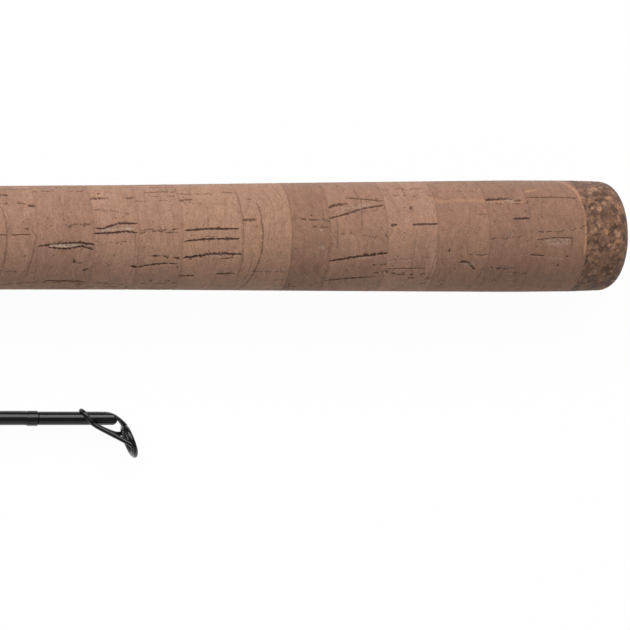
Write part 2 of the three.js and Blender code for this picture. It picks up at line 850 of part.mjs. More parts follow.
function footSpan(guide) {
  const reach = guide.legReach + guide.footLength;
  return [guide.station - reach, guide.station + reach];
}

const stripperRest = restOver(buttBlankRadius, footSpan(stripperGuide));
const stripperFrame = doubleFootFrame(stripperGuide, stripperRest);
placeGuide(buttSection, "stripper", stripperGuide, stripperFrame, 0);
wrapDoubleFoot(buttSection, "stripper", stripperGuide, buttBlankRadius, stripperRest, 0);

const firstRest = restOver(tipBlankRadius, footSpan(firstTipGuide));
const firstFrame = doubleFootFrame(firstTipGuide, firstRest);
placeGuide(tipSection, "guide16", firstTipGuide, firstFrame, Math.PI);
wrapDoubleFoot(tipSection, "guide16", firstTipGuide, tipBlankRadius, firstRest, Math.PI);

for (const size of singleFootGuides) {
  const guide = { ...singleFoot, ...size, station: size.share * tipBlankLength };
  const rest = restOver(tipBlankRadius, footSpan(guide));
  const frame = singleFootFrame(guide, rest);
  placeGuide(tipSection, guide.name, guide, frame, Math.PI);
  const heel = guide.station - guide.legReach - heelShow;
  const toe = guide.station - guide.legReach - guide.footLength - wrapPastToe;
  const name = `${guide.name}_wrap`;
  placeWrap(tipSection, name, heel, toe, tipBlankRadius, rest, guide.footWidth, Math.PI);
}

// Hook keeper: a wire loop on a single foot, and its wrap
const keeper = {
  station: keeperStation,
  legReach: keeperReach,
  footLength: keeperFoot,
  footWidth: keeperWire * 2,
};
const keeperRest = restOver(buttBlankRadius, footSpan(keeper));
function hookKeeper() {
  const heel = new THREE.Vector3(-keeper.legReach, keeperRest + footThickness / 2, 0);
  const middle = keeperRest + keeperWire + keeperLoop / 2;
  const loop = new THREE.TorusGeometry(keeperLoop / 2, keeperWire / 2, 6, 16);
  loop.translate(0, middle, 0);
  const leg = bar(new THREE.Vector3(-keeperLoop / 2, middle, 0), heel, keeperWire);
  const toe = keeper.legReach + keeper.footLength;
  const foot = guideFoot(keeper.legReach - keeperWire / 2, toe, keeperRest, keeper.footWidth);
  const underfoot = block(-9, toe, 0, keeperRest, keeperLoop * 2);
  return cut(joined(loop, leg, foot), underfoot);
}
addPiece(
  buttSection,
  "hook_keeper",
  hookKeeper().translate(-keeperStation, 0, 0),
  materials.frame,
);
placeWrap(
  buttSection,
  "hook_keeper_wrap",
  keeperStation + keeper.legReach + heelShow,
  keeperStation + keeper.legReach + keeper.footLength + wrapPastToe,
  buttBlankRadius,
  keeperRest,
  keeper.footWidth,
  0,
);

// Tip-top. The tube has a rounded end and a blind bore. A wire crosses over it and runs down
// both sides to the ring, and a tongue joins the tube's end to the top of the ring.
const tipRing = {
  ringDiameter: tipRingDiameter,
  boreDiameter: tipBoreDiameter,
  bandWidth: tipBandWidth,
};
const toTipRing = (shape) => shape.rotateZ(tipRingLean).translate(tipRingAhead, -tipRingDrop, 0);

function tipTube() {
  const radius = tubeDiameter / 2;
  const bore = tipBlankDiameter / 2 + wrapSeat;
  const round = radius / 2;
  return turned(
    [
      [0, 0],
      [radius - round, 0],
      [radius - round * 0.3, round * 0.3],
      [radius, round],
      [radius, tubeLength],
      [bore + tubeBoreGrowth, tubeLength],
      [bore, tubeLength - tubeBoreDepth],
      [0, tubeLength - tubeBoreDepth],
    ],
    blankSides,
  );
}

function crossingWire() {
  const over = tubeDiameter / 2 + tipWire * 0.15;
  const side = tipRingDiameter / 2 - tipWire / 2;
  const half = [
    new THREE.Vector3(-crossingBack, over, 0),
    new THREE.Vector3(-crossingBack + over * 0.35, over * 0.7, over * 0.8),
    new THREE.Vector3(-crossingBack + over, -over * 0.15, over * 1.05),
    new THREE.Vector3(-crossingBack + over * 2, -over * 1.0, over * 1.15),
    new THREE.Vector3(0, -tipRingDrop * 0.78, side * 0.82),
    new THREE.Vector3(tipRingAhead, -tipRingDrop - tipWire / 2, side),
  ];
  const mirrored = half.slice(1).map((point) => new THREE.Vector3(point.x, point.y, -point.z));
  return bentWire([...mirrored.reverse(), ...half], tipWire, 24);
}

// A point of the tip ring's top, as far forward and as far below its rim as given
function nearRingTop(forward, below) {
  const rim = new THREE.Vector2(forward, tipRingDiameter / 2 - below);
  rim.rotateAround(new THREE.Vector2(), tipRingLean);
  return rim.add(new THREE.Vector2(tipRingAhead, -tipRingDrop));
}

function tongue() {
  const radius = tubeDiameter / 2;
  const outerBend = new THREE.Vector2(radius * 0.22, radius * 0.65);
  const innerBend = new THREE.Vector2(-0.22, -1.23).multiplyScalar(tongueThickness).add(outerBend);
  const frontEnd = nearRingTop(tipBandWidth / 2, tongueThickness * 0.3);
  const middle = nearRingTop(0, tongueThickness * 0.6);
  const rearEnd = nearRingTop(-tipBandWidth * 0.65, tongueThickness * 0.3);
  const outline = new THREE.Shape();
  outline.moveTo(-radius * 1.6, radius * 0.97);
  outline.quadraticCurveTo(outerBend.x, outerBend.y, frontEnd.x, frontEnd.y);
  outline.lineTo(middle.x, middle.y);
  outline.lineTo(rearEnd.x, rearEnd.y);
  outline.quadraticCurveTo(innerBend.x, innerBend.y, -radius * 0.65, -radius * 0.06);
  const tab = new THREE.ExtrudeGeometry(outline, {
    depth: tongueWidth,
    bevelEnabled: false,
    curveSegments: 4,
  });
  return tab.translate(0, 0, -tongueWidth / 2);
}

function tipTopFrame() {
  const room = toTipRing(bandRoom({ ...tipRing, bandWidth: tipBandWidth * 2 }));
  const bore = sleeveCore(tubeLength - tubeBoreDepth, tubeLength + 1, tipBlankRadius);
  const whole = joined(tipTube(), toTipRing(ringBand(tipRing)), crossingWire(), tongue());
  return cut(whole, room, bore);
}
addPiece(tipSection, "tip_top_frame", tipTopFrame(), materials.frame);
addPiece(tipSection, "tip_top_ring", toTipRing(ceramicRing(tipRing)), materials.ceramic);

function tipWrap() {
  const start = tubeLength + glueLine;
  const seat = (station) => tipBlankRadius(station) + wrapSeat;
  const rows = [
    [start, tipCollarDiameter / 2 - glueLine],
    [start + glueLine, tipCollarDiameter / 2],
    [start + tipCollarLength, tipCollarDiameter / 2],
    [start + tipCollarLength + glueLine, tipWrapDiameter / 2],
    [start + tipWrapLength - wrapSkin, tipWrapDiameter / 2],
    [start + tipWrapLength, seat(start + tipWrapLength) + wrapSkin / 3],
  ];
  return sleeve(
    rows.map(([station, outer]) => [station, outer, seat(station)]),
    blankSides,
  );
}
addPiece(tipSection, "tip_top_wrap", tipWrap(), materials.wrap);

// The tip section lies on its tip ring and its first guide, on the table that the grip touches.
// It is rolled a little about its own axis, so its guides point slightly down.
const tableHeight = -Math.max(...gripTaper.map((row) => row.diameter)) / 2;
const heightOver = (ringDiameter, reach) =>
  tableHeight + floorClearance + ringDiameter / 2 + reach * Math.sin(tipRoll);
const tipHeight = heightOver(tipRingDiameter, tipRingDrop);
const firstGuideHeight = heightOver(firstTipGuide.ringDiameter, firstTipGuide.height);
const tipSlope = Math.asin((firstGuideHeight - tipHeight) / firstTipGuide.station);
tipSection.rotation.set(tipRoll, tipSlope, -tipYaw, "YZX");
tipSection.position.set(tipTubeEnd.x, tipTubeEnd.y, tipHeight);

export default rod;
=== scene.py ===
import json
import math

import bmesh
import bpy
import numpy as np
from mathutils import Matrix, Vector, kdtree


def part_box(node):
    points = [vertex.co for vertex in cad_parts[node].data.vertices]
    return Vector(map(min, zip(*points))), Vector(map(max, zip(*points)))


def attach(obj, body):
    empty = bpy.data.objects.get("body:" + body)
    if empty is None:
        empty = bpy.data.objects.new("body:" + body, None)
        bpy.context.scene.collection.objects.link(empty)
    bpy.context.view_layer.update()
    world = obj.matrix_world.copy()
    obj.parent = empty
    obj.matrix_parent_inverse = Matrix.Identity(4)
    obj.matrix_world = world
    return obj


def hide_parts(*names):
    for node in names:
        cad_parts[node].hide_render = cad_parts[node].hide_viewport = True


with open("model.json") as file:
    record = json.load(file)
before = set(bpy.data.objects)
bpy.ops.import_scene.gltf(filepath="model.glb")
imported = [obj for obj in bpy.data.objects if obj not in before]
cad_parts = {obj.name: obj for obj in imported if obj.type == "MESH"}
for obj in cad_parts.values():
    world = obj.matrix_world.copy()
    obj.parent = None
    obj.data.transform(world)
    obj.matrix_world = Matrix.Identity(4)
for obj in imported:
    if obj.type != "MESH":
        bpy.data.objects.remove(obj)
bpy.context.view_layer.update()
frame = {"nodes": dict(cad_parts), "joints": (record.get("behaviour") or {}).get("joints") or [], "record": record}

# A spinning rod in two sections, lying side by side. Sizes are in millimetres until a piece is
# finished. A station is a distance from the butt end, or, on the tip section, from the end of the
# tip-top's tube. An angle round the grip is counted from the top towards the reel side (+Y).
MM = 0.001
TABLE = -14.0
FULL_TURN = 2 * math.pi
QUARTER_TURN = math.pi / 2
MERGE_WITHIN = 1e-4

# Where the tip section lies. It is rolled about its own axis, and its last ring is on the table.
TIP_ROLL = math.radians(6)
TIP_TUBE_END = (-126.7, -43.6)
TIP_RING = 8.9
TIP_RING_DROP = 5.6
TABLE_CLEARANCE = 0.05

record = frame["record"]
body_of = {node: body for body, nodes in record["behaviour"]["bodies"].items() for node in nodes}


def colour(red, green, blue):
    """A colour as it looks on a screen, from 0 to 255, as the renderer's light."""
    levels = [level / 255 for level in (red, green, blue)]
    linear = [v / 12.92 if v <= 0.04045 else ((v + 0.055) / 1.055) ** 2.4 for v in levels]
    return (*linear, 1)


def place_of_tip_section():
    """The tip section's place, from its slide joint and the end of its tip-top's tube."""
    slide = next(joint for joint in frame["joints"] if joint["name"] == "tip_section_slide")
    away = Vector(slide["axis"])
    yaw = Matrix.Rotation(-math.asin(away.y), 4, "Z")
    slope = Matrix.Rotation(math.atan2(away.z, -away.x), 4, "Y")
    roll = Matrix.Rotation(TIP_ROLL, 4, "X")
    height = TABLE + TIP_RING / 2 + TABLE_CLEARANCE + TIP_RING_DROP * math.sin(TIP_ROLL)
    return Matrix.Translation((*TIP_TUBE_END, height)) @ slope @ yaw @ roll


IN_BUTT = Matrix.Identity(4)
IN_TIP = place_of_tip_section()


# Shapes
def spun(bm, axis, steps):
    """Turns the lines of a shape all the way round an axis through the origin."""
    bmesh.ops.spin(
        bm, geom=bm.verts[:] + bm.edges[:], cent=(0, 0, 0), axis=axis,
        angle=FULL_TURN, steps=steps, use_merge=True,
    )
    return bm


def turned(rows, steps, closed=False):
    """A shape turned about the X axis from rows of station and radius."""
    bm = bmesh.new()
    points = [bm.verts.new((-station, 0, radius)) for station, radius in rows]
    for first, second in zip(points, points[1:]):
        bm.edges.new((first, second))
    if closed:
        bm.edges.new((points[-1], points[0]))
    spun(bm, (1, 0, 0), steps)
    bmesh.ops.remove_doubles(bm, verts=bm.verts, dist=MERGE_WITHIN)
    bmesh.ops.recalc_face_normals(bm, faces=bm.faces)
    return bm


def reshaped(bm, radius_at):
    """Moves each point of a turned shape to a new radius, by its station, angle from +Y and radius."""
    for vert in bm.verts:
        radius = math.hypot(vert.co.y, vert.co.z)
        if radius > MERGE_WITHIN:
            angle = math.atan2(vert.co.z, vert.co.y)
            vert.co.yz = Vector(vert.co.yz) * (radius_at(-vert.co.x, angle, radius) / radius)
    return bm


def swept(bm, points, sizes, up, sides):
    """A bar along points. Sizes are half its width and half its height at each, up its height's way."""
    points = [Vector(point) for point in points]
    up = Vector(up)
    before = None
    for at, (point, (across, high)) in enumerate(zip(points, sizes)):
        ahead = (points[min(at + 1, len(points) - 1)] - points[max(at - 1, 0)]).normalized()
        side = ahead.cross(up).normalized()
        top = side.cross(ahead)
        place = Matrix((side * across, top * high, ahead)).transposed().to_4x4()
        place.translation = point
        if before is None:
            circle = bmesh.ops.create_circle(bm, cap_ends=True, segments=sides, radius=1, matrix=place)
            edges = list({edge for vert in circle["verts"] for edge in vert.link_edges})
        else:
            extruded = bmesh.ops.extrude_edge_only(bm, edges=edges)["geom"]
            loop = [part for part in extruded if isinstance(part, bmesh.types.BMVert)]
            edges = [part for part in extruded if isinstance(part, bmesh.types.BMEdge)]
            edges = [edge for edge in edges if all(vert in loop for vert in edge.verts)]
            bmesh.ops.transform(bm, matrix=place @ before.inverted(), verts=loop)
        before = place
    bmesh.ops.contextual_create(bm, geom=edges)


def rounded(points, steps):
    """A smooth run through points, steps to each stretch."""
    run = [Vector(point) for point in points]
    ends = [run[0] * 2 - run[1], *run, run[-1] * 2 - run[-2]]
    smooth = []
    for a, b, c, d in zip(ends, ends[1:], ends[2:], ends[3:]):
        for step in range(steps):
            share = step / steps
            bend = (2 * a - 5 * b + 4 * c - d) * share + (3 * b - a - 3 * c + d) * share * share
            smooth.append(b + ((c - a) + bend) * share / 2)
    return [*smooth, run[-1]]


def blended(values, count):
    """Values spread evenly over a number of places."""
    at = np.linspace(0, len(values) - 1, count)
    return list(zip(*(np.interp(at, range(len(values)), column) for column in zip(*values))))


def added(bm, other, place=IN_BUTT):
    """Puts another shape into this one, at a place."""
    bmesh.ops.transform(other, matrix=place, verts=other.verts)
    loose = bpy.data.meshes.new("loose")
    other.to_mesh(loose)
    other.free()
    bm.from_mesh(loose)
    bpy.data.meshes.remove(loose)
    return bm


def finished(name, bm, node, finish, place=IN_BUTT, sharp=35):
    """Makes a piece of the rod from its shape, and gives it its place, finish and CAD body."""
    bmesh.ops.recalc_face_normals(bm, faces=bm.faces)
    if bm.calc_volume(signed=True) < 0:
        bmesh.ops.reverse_faces(bm, faces=bm.faces)
    mesh = bpy.data.meshes.new(name)
    bm.to_mesh(mesh)
    bm.free()
    mesh.transform(Matrix.Scale(MM, 4) @ place)
    mesh.materials.append(finish)
    mesh.shade_smooth()
    mesh.set_sharp_from_angle(angle=math.radians(sharp))
    piece = bpy.data.objects.new(name, mesh)
    bpy.context.scene.collection.objects.link(piece)
    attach(piece, body_of[node])
    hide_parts(node)
    return piece


def steps_between(start, end, step):
    """Evenly spaced places about a step apart, both ends included."""
    return np.linspace(start, end, max(2, round((end - start) / step) + 1))


# Sizes that the frame holds
def span(node):
    """A node's first and last station and its reach towards +Y."""
    low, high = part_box(node)
    return -high.x / MM, -low.x / MM, high.y / MM


def points_of(node, place=IN_BUTT):
    """A node's points in a section's own frame."""
    away = place.inverted()
    return [away @ (vert.co / MM) for vert in frame["nodes"][node].data.vertices]


def corners(node, place=IN_BUTT):
    """A node's lowest and highest corners in a section's own frame."""
    points = np.array(points_of(node, place))
    return Vector(points.min(0)), Vector(points.max(0))


def rows_of(*nodes, place=IN_BUTT):
    """Rows of station and outer radius of nodes that are turned about the X axis."""
    rows = {}
    for node in nodes:
        for point in points_of(node, place):
            station = round(-point.x, 1)
            rows[station] = max(rows.get(station, 0), math.hypot(point.y, point.z))
    return sorted(rows.items())


def straight(rows):
    """The radius at any station, in straight lines from row to row."""
    stations, radii = np.array(rows).T
    return lambda station: float(np.interp(station, stations, radii))


def eased(rows):
    """The radius at any station, on a smooth curve through rows of station and radius."""
    stations, radii = np.array(rows).T
    slopes = np.gradient(radii, stations)

    def radius_at(station):
        at = np.clip(np.searchsorted(stations, station) - 1, 0, len(stations) - 2)
        length = stations[at + 1] - stations[at]
        share = np.clip((station - stations[at]) / length, 0, 1)
        ease = share * share * (3 - 2 * share)
        start, end = slopes[at] * length, slopes[at + 1] * length
        swelling = share * (1 - share) * ((1 - share) * start - share * end)
        return radii[at] + (radii[at + 1] - radii[at]) * ease + swelling

    return radius_at


radius_of_blank = straight(rows_of("butt_blank"))
tip_rows = rows_of("tip_blank", place=IN_TIP)
radius_of_tip_blank = straight([tip_rows[0], tip_rows[-1]])


# Colours, as they look on a screen. A pair is the darker and the lighter tone of one finish.
CORK = (140, 105, 87), (156, 120, 102)
CORK_WARM = (159, 123, 99)
CORK_LINE = (116, 84, 68)
SPECK = (72, 46, 36)
TAN_STREAK = (178, 134, 100)
GROWTH_BAND = (98, 68, 54)
POWDER_FILLING = (118, 94, 80), (178, 155, 137)
CRACK = (72, 49, 39)
GRAIN_TONES = [(72, 50, 38), (100, 72, 57), (118, 86, 68), (134, 99, 78), (164, 128, 102)]
GRAIN_ORANGE = (160, 116, 82)
GRAIN_SEAM = (64, 43, 34)
CARBON = (14, 14, 16), (44, 44, 48)
CARBON_TAPE = (52, 52, 57)
GROUND = (38, 38, 41), (72, 72, 76)
THREAD = (6, 6, 7), (15, 15, 17)
PLATING = (5, 5, 6), (14, 14, 16)
CERAMIC = (26, 27, 29), (44, 45, 48)
SEAT = (15, 15, 16), (24, 24, 26)
LINER = (20, 20, 21), (30, 30, 32)
NUT = (17, 17, 18), (27, 27, 29)
HOOD = (20, 20, 22), (36, 36, 40)
TRIM = (120, 121, 124), (168, 169, 172)
FOAM = (150, 142, 126), (206, 199, 184)
PAPER = (0.86, 0.86, 0.86, 1)

# The middle of a noise, which most patterns use
NOISE_LOW, NOISE_HIGH = 0.3, 0.7
RINGS_ROUND = (1, 0.03, 0.03)


# Finishes
class Finish:
    """A material, with short ways to add nodes and to join them. Sizes are in millimetres."""

    def __init__(self, name):
        self.material = bpy.data.materials.new(name)
        self.material.use_nodes = True
        self.tree = self.material.node_tree
        self.shader = self.tree.nodes["Principled BSDF"]
        self.place = self.add("TexCoord").outputs["Object"]

    def add(self, kind, inputs=(), **settings):
        """Adds a node. Each of its inputs is a value or what another node gives."""
        node = self.tree.nodes.new("ShaderNode" + kind)
        for key, value in settings.items():
            setattr(node, key, value)
        for key, value in dict(inputs).items():
            self.feed(node, key, value)
        return node

    def feed(self, node, key, value):
        """Sets one input to a value, or joins it to what gives it."""
        if isinstance(value, bpy.types.NodeSocket):
            self.tree.links.new(value, node.inputs[key])
        else:
            node.inputs[key].default_value = value

    def surface(self, **inputs):
        """Sets inputs of the surface itself."""
        for key, value in inputs.items():
            self.feed(self.shader, key.replace("_", " ").title().replace("Ior", "IOR"), value)

    def kept(self, name):
        """The three values that a piece keeps for each of its points."""
        values = self.add("Attribute", attribute_name=name).outputs["Vector"]
        parts = self.add("SeparateXYZ", {"Vector": values})
        return [parts.outputs[axis] for axis in "XYZ"]

    def reckoned(self, operation, first, second):
        """The result of one sum."""
        return self.add("Math", {0: first, 1: second}, operation=operation).outputs[0]

    def plus(self, first, second):
        return self.reckoned("ADD", first, second)

    def times(self, first, second):
        return self.reckoned("MULTIPLY", first, second)

    def spread(self, value, low, high, to_low=0.0, to_high=1.0):
        """A value between low and high, spread from one new limit to the other."""
        inputs = {"Value": value, "From Min": low, "From Max": high, "To Min": to_low, "To Max": to_high}
        return self.add("MapRange", inputs).outputs["Result"]

    def between(self, first, last, noise):
        """From one value to the other, by a noise."""
        return self.spread(noise, NOISE_LOW, NOISE_HIGH, first, last)

    def pattern(self, kind, output, size, stretch, **inputs):
        """A pattern that is as large as size, stretched along the axes whose stretch is less than 1."""
        along = self.add("Mapping", {"Vector": self.place, "Scale": stretch}).outputs["Vector"]
        return self.add(kind, {"Vector": along, "Scale": 1 / (size * MM), **inputs}).outputs[output]

    def noise(self, size, detail=2.0, stretch=(1, 1, 1)):
        """Noise whose features are about as wide as size."""
        return self.pattern("TexNoise", "Fac", size, stretch, Detail=detail)

    def cells(self, size):
        """The distance from the middle of cells about as wide as size."""
        return self.pattern("TexVoronoi", "Distance", size, (1, 1, 1))

    def mixed(self, share, first, second, blend="MIX"):
        """The first colour, with a share of the second."""
        inputs = {0: share, 6: first, 7: second}
        return self.add("Mix", inputs, data_type="RGBA", blend_type=blend).outputs[2]

    def two_tone(self, value, tones, low=NOISE_LOW, high=NOISE_HIGH):
        """The darker tone up to low, and the lighter from high on."""
        dark, light = tones
        return self.mixed(self.spread(value, low, high), colour(*dark), colour(*light))

    def tinted(self, base, share, strength, tone):
        """A colour with a share of a tone over it, no more than its strength."""
        return self.mixed(self.times(share, strength), base, colour(*tone))

    def shaded(self, base, red, others):
        """A colour with its red and its other light turned up or down."""
        levels = self.add("CombineXYZ", {"X": red, "Y": others, "Z": others}).outputs["Vector"]
        return self.mixed(1.0, base, levels, "MULTIPLY")

    def relief(self, height, depth, strength=1.0):
        """Fine relief of a depth, which finishes the material."""
        inputs = {"Height": height, "Distance": depth * MM, "Strength": strength}
        self.surface(normal=self.add("Bump", inputs).outputs["Normal"])
        return self.material


def natural_cork():
    """Natural cork: growth lines round the grip, and the pits and cracks that are cut into it."""
    cork = Finish("natural cork")
    years, around, tone = cork.kept("growth")
    crack, powder, joint = cork.kept("pits")
    band, tan, warmth = cork.kept("streaks")

    def lines(spacing, reach):
        """Growth lines across the grip, which fade in and out round it."""
        places = {"X": cork.times(years, 1 / spacing), "Y": cork.times(around, 1 / reach)}
        vector = cork.add("CombineXYZ", places).outputs["Vector"]
        return cork.add("TexNoise", {"Vector": vector, "Scale": 1.0, "Detail": 3.0}).outputs["Fac"]

    base = cork.two_tone(lines(2.4, 26), CORK, 0.32, 0.68)
    patch = cork.spread(cork.noise(7, 3.0), 0.35, 0.65, 0.0, 0.45)
    base = cork.tinted(base, cork.plus(cork.spread(warmth, -1, 1, 0.0, 0.5), patch), 1.0, CORK_WARM)
    base = cork.tinted(base, cork.spread(lines(0.5, 6), 0.4, 0.75), 0.46, CORK_LINE)
    grit = cork.between(0.8, 1.2, cork.noise(0.3, 3.0))
    shade = cork.times(cork.times(cork.between(0.9, 1.1, cork.noise(1.3, 4.0)), grit), tone)
    ruddy = cork.spread(tone, 0.8, 1.05, 0.955, 1.0)
    base = cork.shaded(base, shade, cork.times(shade, ruddy))
    speck = cork.spread(cork.cells(1.3), 0.1, 0.2, 0.7, 0.0)
    base = cork.tinted(base, speck, cork.spread(cork.noise(2.2, 1.0), 0.5, 0.56), SPECK)
    base = cork.tinted(base, tan, 0.85, TAN_STREAK)
    base = cork.tinted(base, band, 0.75, GROWTH_BAND)
    base = cork.tinted(base, joint, 0.32, GROWTH_BAND)
    base = cork.tinted(base, crack, 0.95, CRACK)
    filling = cork.two_tone(cork.noise(0.7, 3.0), POWDER_FILLING, 0.3, 0.66)
    base = cork.mixed(cork.times(powder, cork.spread(cork.noise(1.1), 0.25, 0.5)), base, filling)
    cork.surface(base_color=base, roughness=cork.spread(grit, 0.9, 1.1, 0.78, 0.9), specular_ior_level=0.25)
    cork.surface(sheen_weight=0.12, sheen_roughness=0.5)
    return cork.relief(cork.plus(cork.noise(0.35, 3.0), cork.noise(1.3)), 0.05, 0.6)


def composite_cork():
    """Ground cork pressed with glue: grains of several tones, with dark seams between them."""
    grains = Finish("composite cork")
    tone, seam, hue = grains.kept("grain")
    ramp = grains.add("ValToRGB", {"Fac": tone})
    steps = ramp.color_ramp.elements
    steps[0].color = colour(*GRAIN_TONES[0])
    steps[1].color = colour(*GRAIN_TONES[-1])
    for at, shade in enumerate(GRAIN_TONES[1:-1], 1):
        steps.new(at / (len(GRAIN_TONES) - 1)).color = colour(*shade)
    base = grains.tinted(ramp.outputs["Color"], hue, 0.8, GRAIN_ORANGE)
    grit = grains.between(0.72, 1.28, grains.noise(0.45, 4.0))
    base = grains.shaded(base, grit, grit)
    base = grains.tinted(base, seam, 0.6, GRAIN_SEAM)
    roughness = grains.spread(grit, 0.8, 1.2, 0.75, 0.9)
    grains.surface(base_color=base, roughness=roughness, specular_ior_level=0.25)
    grains.surface(sheen_weight=0.12, sheen_roughness=0.5)
    return grains.relief(grains.noise(0.3, 3.0), 0.06, 0.7)


def gloss_carbon():
    """Carbon fibre under clear lacquer: fine fibres along the blank and faint marks of the tape."""
    carbon = Finish("gloss carbon")
    marks = {"Vector": carbon.place, "Scale": 120.0, "Distortion": 2.0, "Detail": 2.0}
    tape = carbon.add("TexWave", marks).outputs["Fac"]
    base = carbon.two_tone(carbon.noise(0.12, 3.0, stretch=(0.02, 1, 1)), CARBON, 0.4, 0.75)
    base = carbon.tinted(base, carbon.spread(tape, 0.9, 1.0), 0.25, CARBON_TAPE)
    carbon.surface(base_color=base, roughness=carbon.between(0.2, 0.28, carbon.noise(6)))
    carbon.surface(coat_weight=0.6, coat_roughness=0.08)
    return carbon.relief(tape, 0.012, 0.5)


def ground_carbon():
    """The ferrule's male end, ground to size and left dull."""
    ground = Finish("ground carbon")
    rings = ground.noise(0.35, 3.0, stretch=(1, 0.05, 0.05))
    ground.surface(base_color=ground.two_tone(rings, GROUND), roughness=ground.between(0.42, 0.6, rings))
    return ground.relief(rings, 0.02)


def varnished_thread():
    """Black thread, wound tight, under clear epoxy that flows out level."""
    thread = Finish("varnished thread")
    winding = {"Vector": thread.place, "Scale": 1550.0, "Distortion": 0.15}
    turns = thread.add("TexWave", winding, wave_profile="SIN").outputs["Fac"]
    base = thread.two_tone(thread.noise(0.09, stretch=(1.0, 0.35, 0.35)), THREAD, 0.4, 0.7)
    thread.surface(base_color=base, roughness=thread.between(0.3, 0.4, thread.noise(3)))
    thread.surface(coat_weight=0.75, coat_roughness=0.08, specular_ior_level=0.1)
    return thread.relief(turns, 0.02, 0.4)


def black_plating():
    """Gloss black plating on the guides' stamped and welded frames."""
    plating = Finish("black plating")
    base = plating.two_tone(plating.noise(2.4, 4.0), PLATING, 0.35, 0.7)
    plating.surface(base_color=base, roughness=plating.between(0.12, 0.2, plating.noise(0.8, 3.0)))
    return plating.relief(plating.noise(0.9, 3.0), 0.004, 0.3)


def polished_ceramic():
    """The dark ceramic of the guides' rings, a little cloudy."""
    ceramic = Finish("polished ceramic")
    base = ceramic.two_tone(ceramic.noise(1.6, 3.0), CERAMIC)
    roughness = ceramic.between(0.2, 0.3, ceramic.noise(0.7))
    ceramic.surface(base_color=base, roughness=roughness, specular_ior_level=0.3)
    return ceramic.relief(ceramic.noise(1.2), 0.01, 0.3)


def moulded_plastic(name, tones, grain, rough):
    """Black plastic with the fine grain of its mould."""
    plastic = Finish(name)
    base = plastic.two_tone(plastic.noise(3.5, 3.0), tones)
    plastic.surface(base_color=base, roughness=plastic.between(*rough, plastic.noise(grain)))
    return plastic.relief(plastic.cells(grain), 0.03, 0.5)


def turned_metal(name, tones, rough):
    """Anodised metal with the fine rings that the lathe leaves."""
    metal = Finish(name)
    rings = metal.noise(0.16, 3.0, stretch=RINGS_ROUND)
    metal.surface(base_color=metal.two_tone(rings, tones), roughness=metal.between(*rough, rings))
    metal.surface(metallic=0.85, anisotropic=0.3)
    return metal.relief(rings, 0.01, 0.5)


def pressed_foam():
    """The pale foam of the arbors between blank and seat."""
    foam = Finish("pressed foam")
    bubbles = foam.cells(0.8)
    base = foam.two_tone(bubbles, FOAM, 0.1, 0.6)
    foam.surface(base_color=base, roughness=foam.between(0.8, 0.95, foam.noise(0.6)))
    return foam.relief(bubbles, 0.1)


cork = natural_cork()
composite = composite_cork()
gloss_black = gloss_carbon()
ground_black = ground_carbon()
thread = varnished_thread()
plated = black_plating()
ceramic = polished_ceramic()
seat_plastic = moulded_plastic("moulded seat", SEAT, 0.45, (0.42, 0.55))
liner_plastic = moulded_plastic("moulded liner", LINER, 0.6, (0.5, 0.65))
nut_plastic = moulded_plastic("moulded nut", NUT, 0.5, (0.45, 0.6))
hood_metal = turned_metal("anodised hood", HOOD, (0.26, 0.38))
trim_metal = turned_metal("bright trim", TRIM, (0.22, 0.36))
foam = pressed_foam()


# Cork
CORK_STEPS = 210
CORK_ROW = 0.42
BORE_CLEAR = 7
SKIN = 1.0
CAP_CORNER = 4.2
CAP_RADIUS = 13.8
CAP_STEPS = 330
CAP_BORE_DEPTH = 8
TRIM_STEPS = 190
GRAIN_SIZE = 1.15
REAR_RINGS = 16
FORE_RINGS = 3
RING_TONES = [0.80, 0.82, 0.89, 1.08, 0.95, 0.82, 1.05, 1.07, 1.055, 1.10, 0.99, 1.02]

# How far the marks are cut in, and how wide their soft edge and the glued joint are
CRACK_DEPTH = 0.32
POWDER_DEPTH = 0.1
GROWTH_DEPTH = 0.05
JOINT_DEPTH = 0.04
SANDED_DEPTH = 0.03
UNEVEN = 0.012
BLEND_EDGE = 0.18
JOINT_WIDTH = 0.16
SEAM_WIDTH = 0.16
SEAM_DEPTH = 0.07
DARK_GRAIN_DEPTH = 0.09

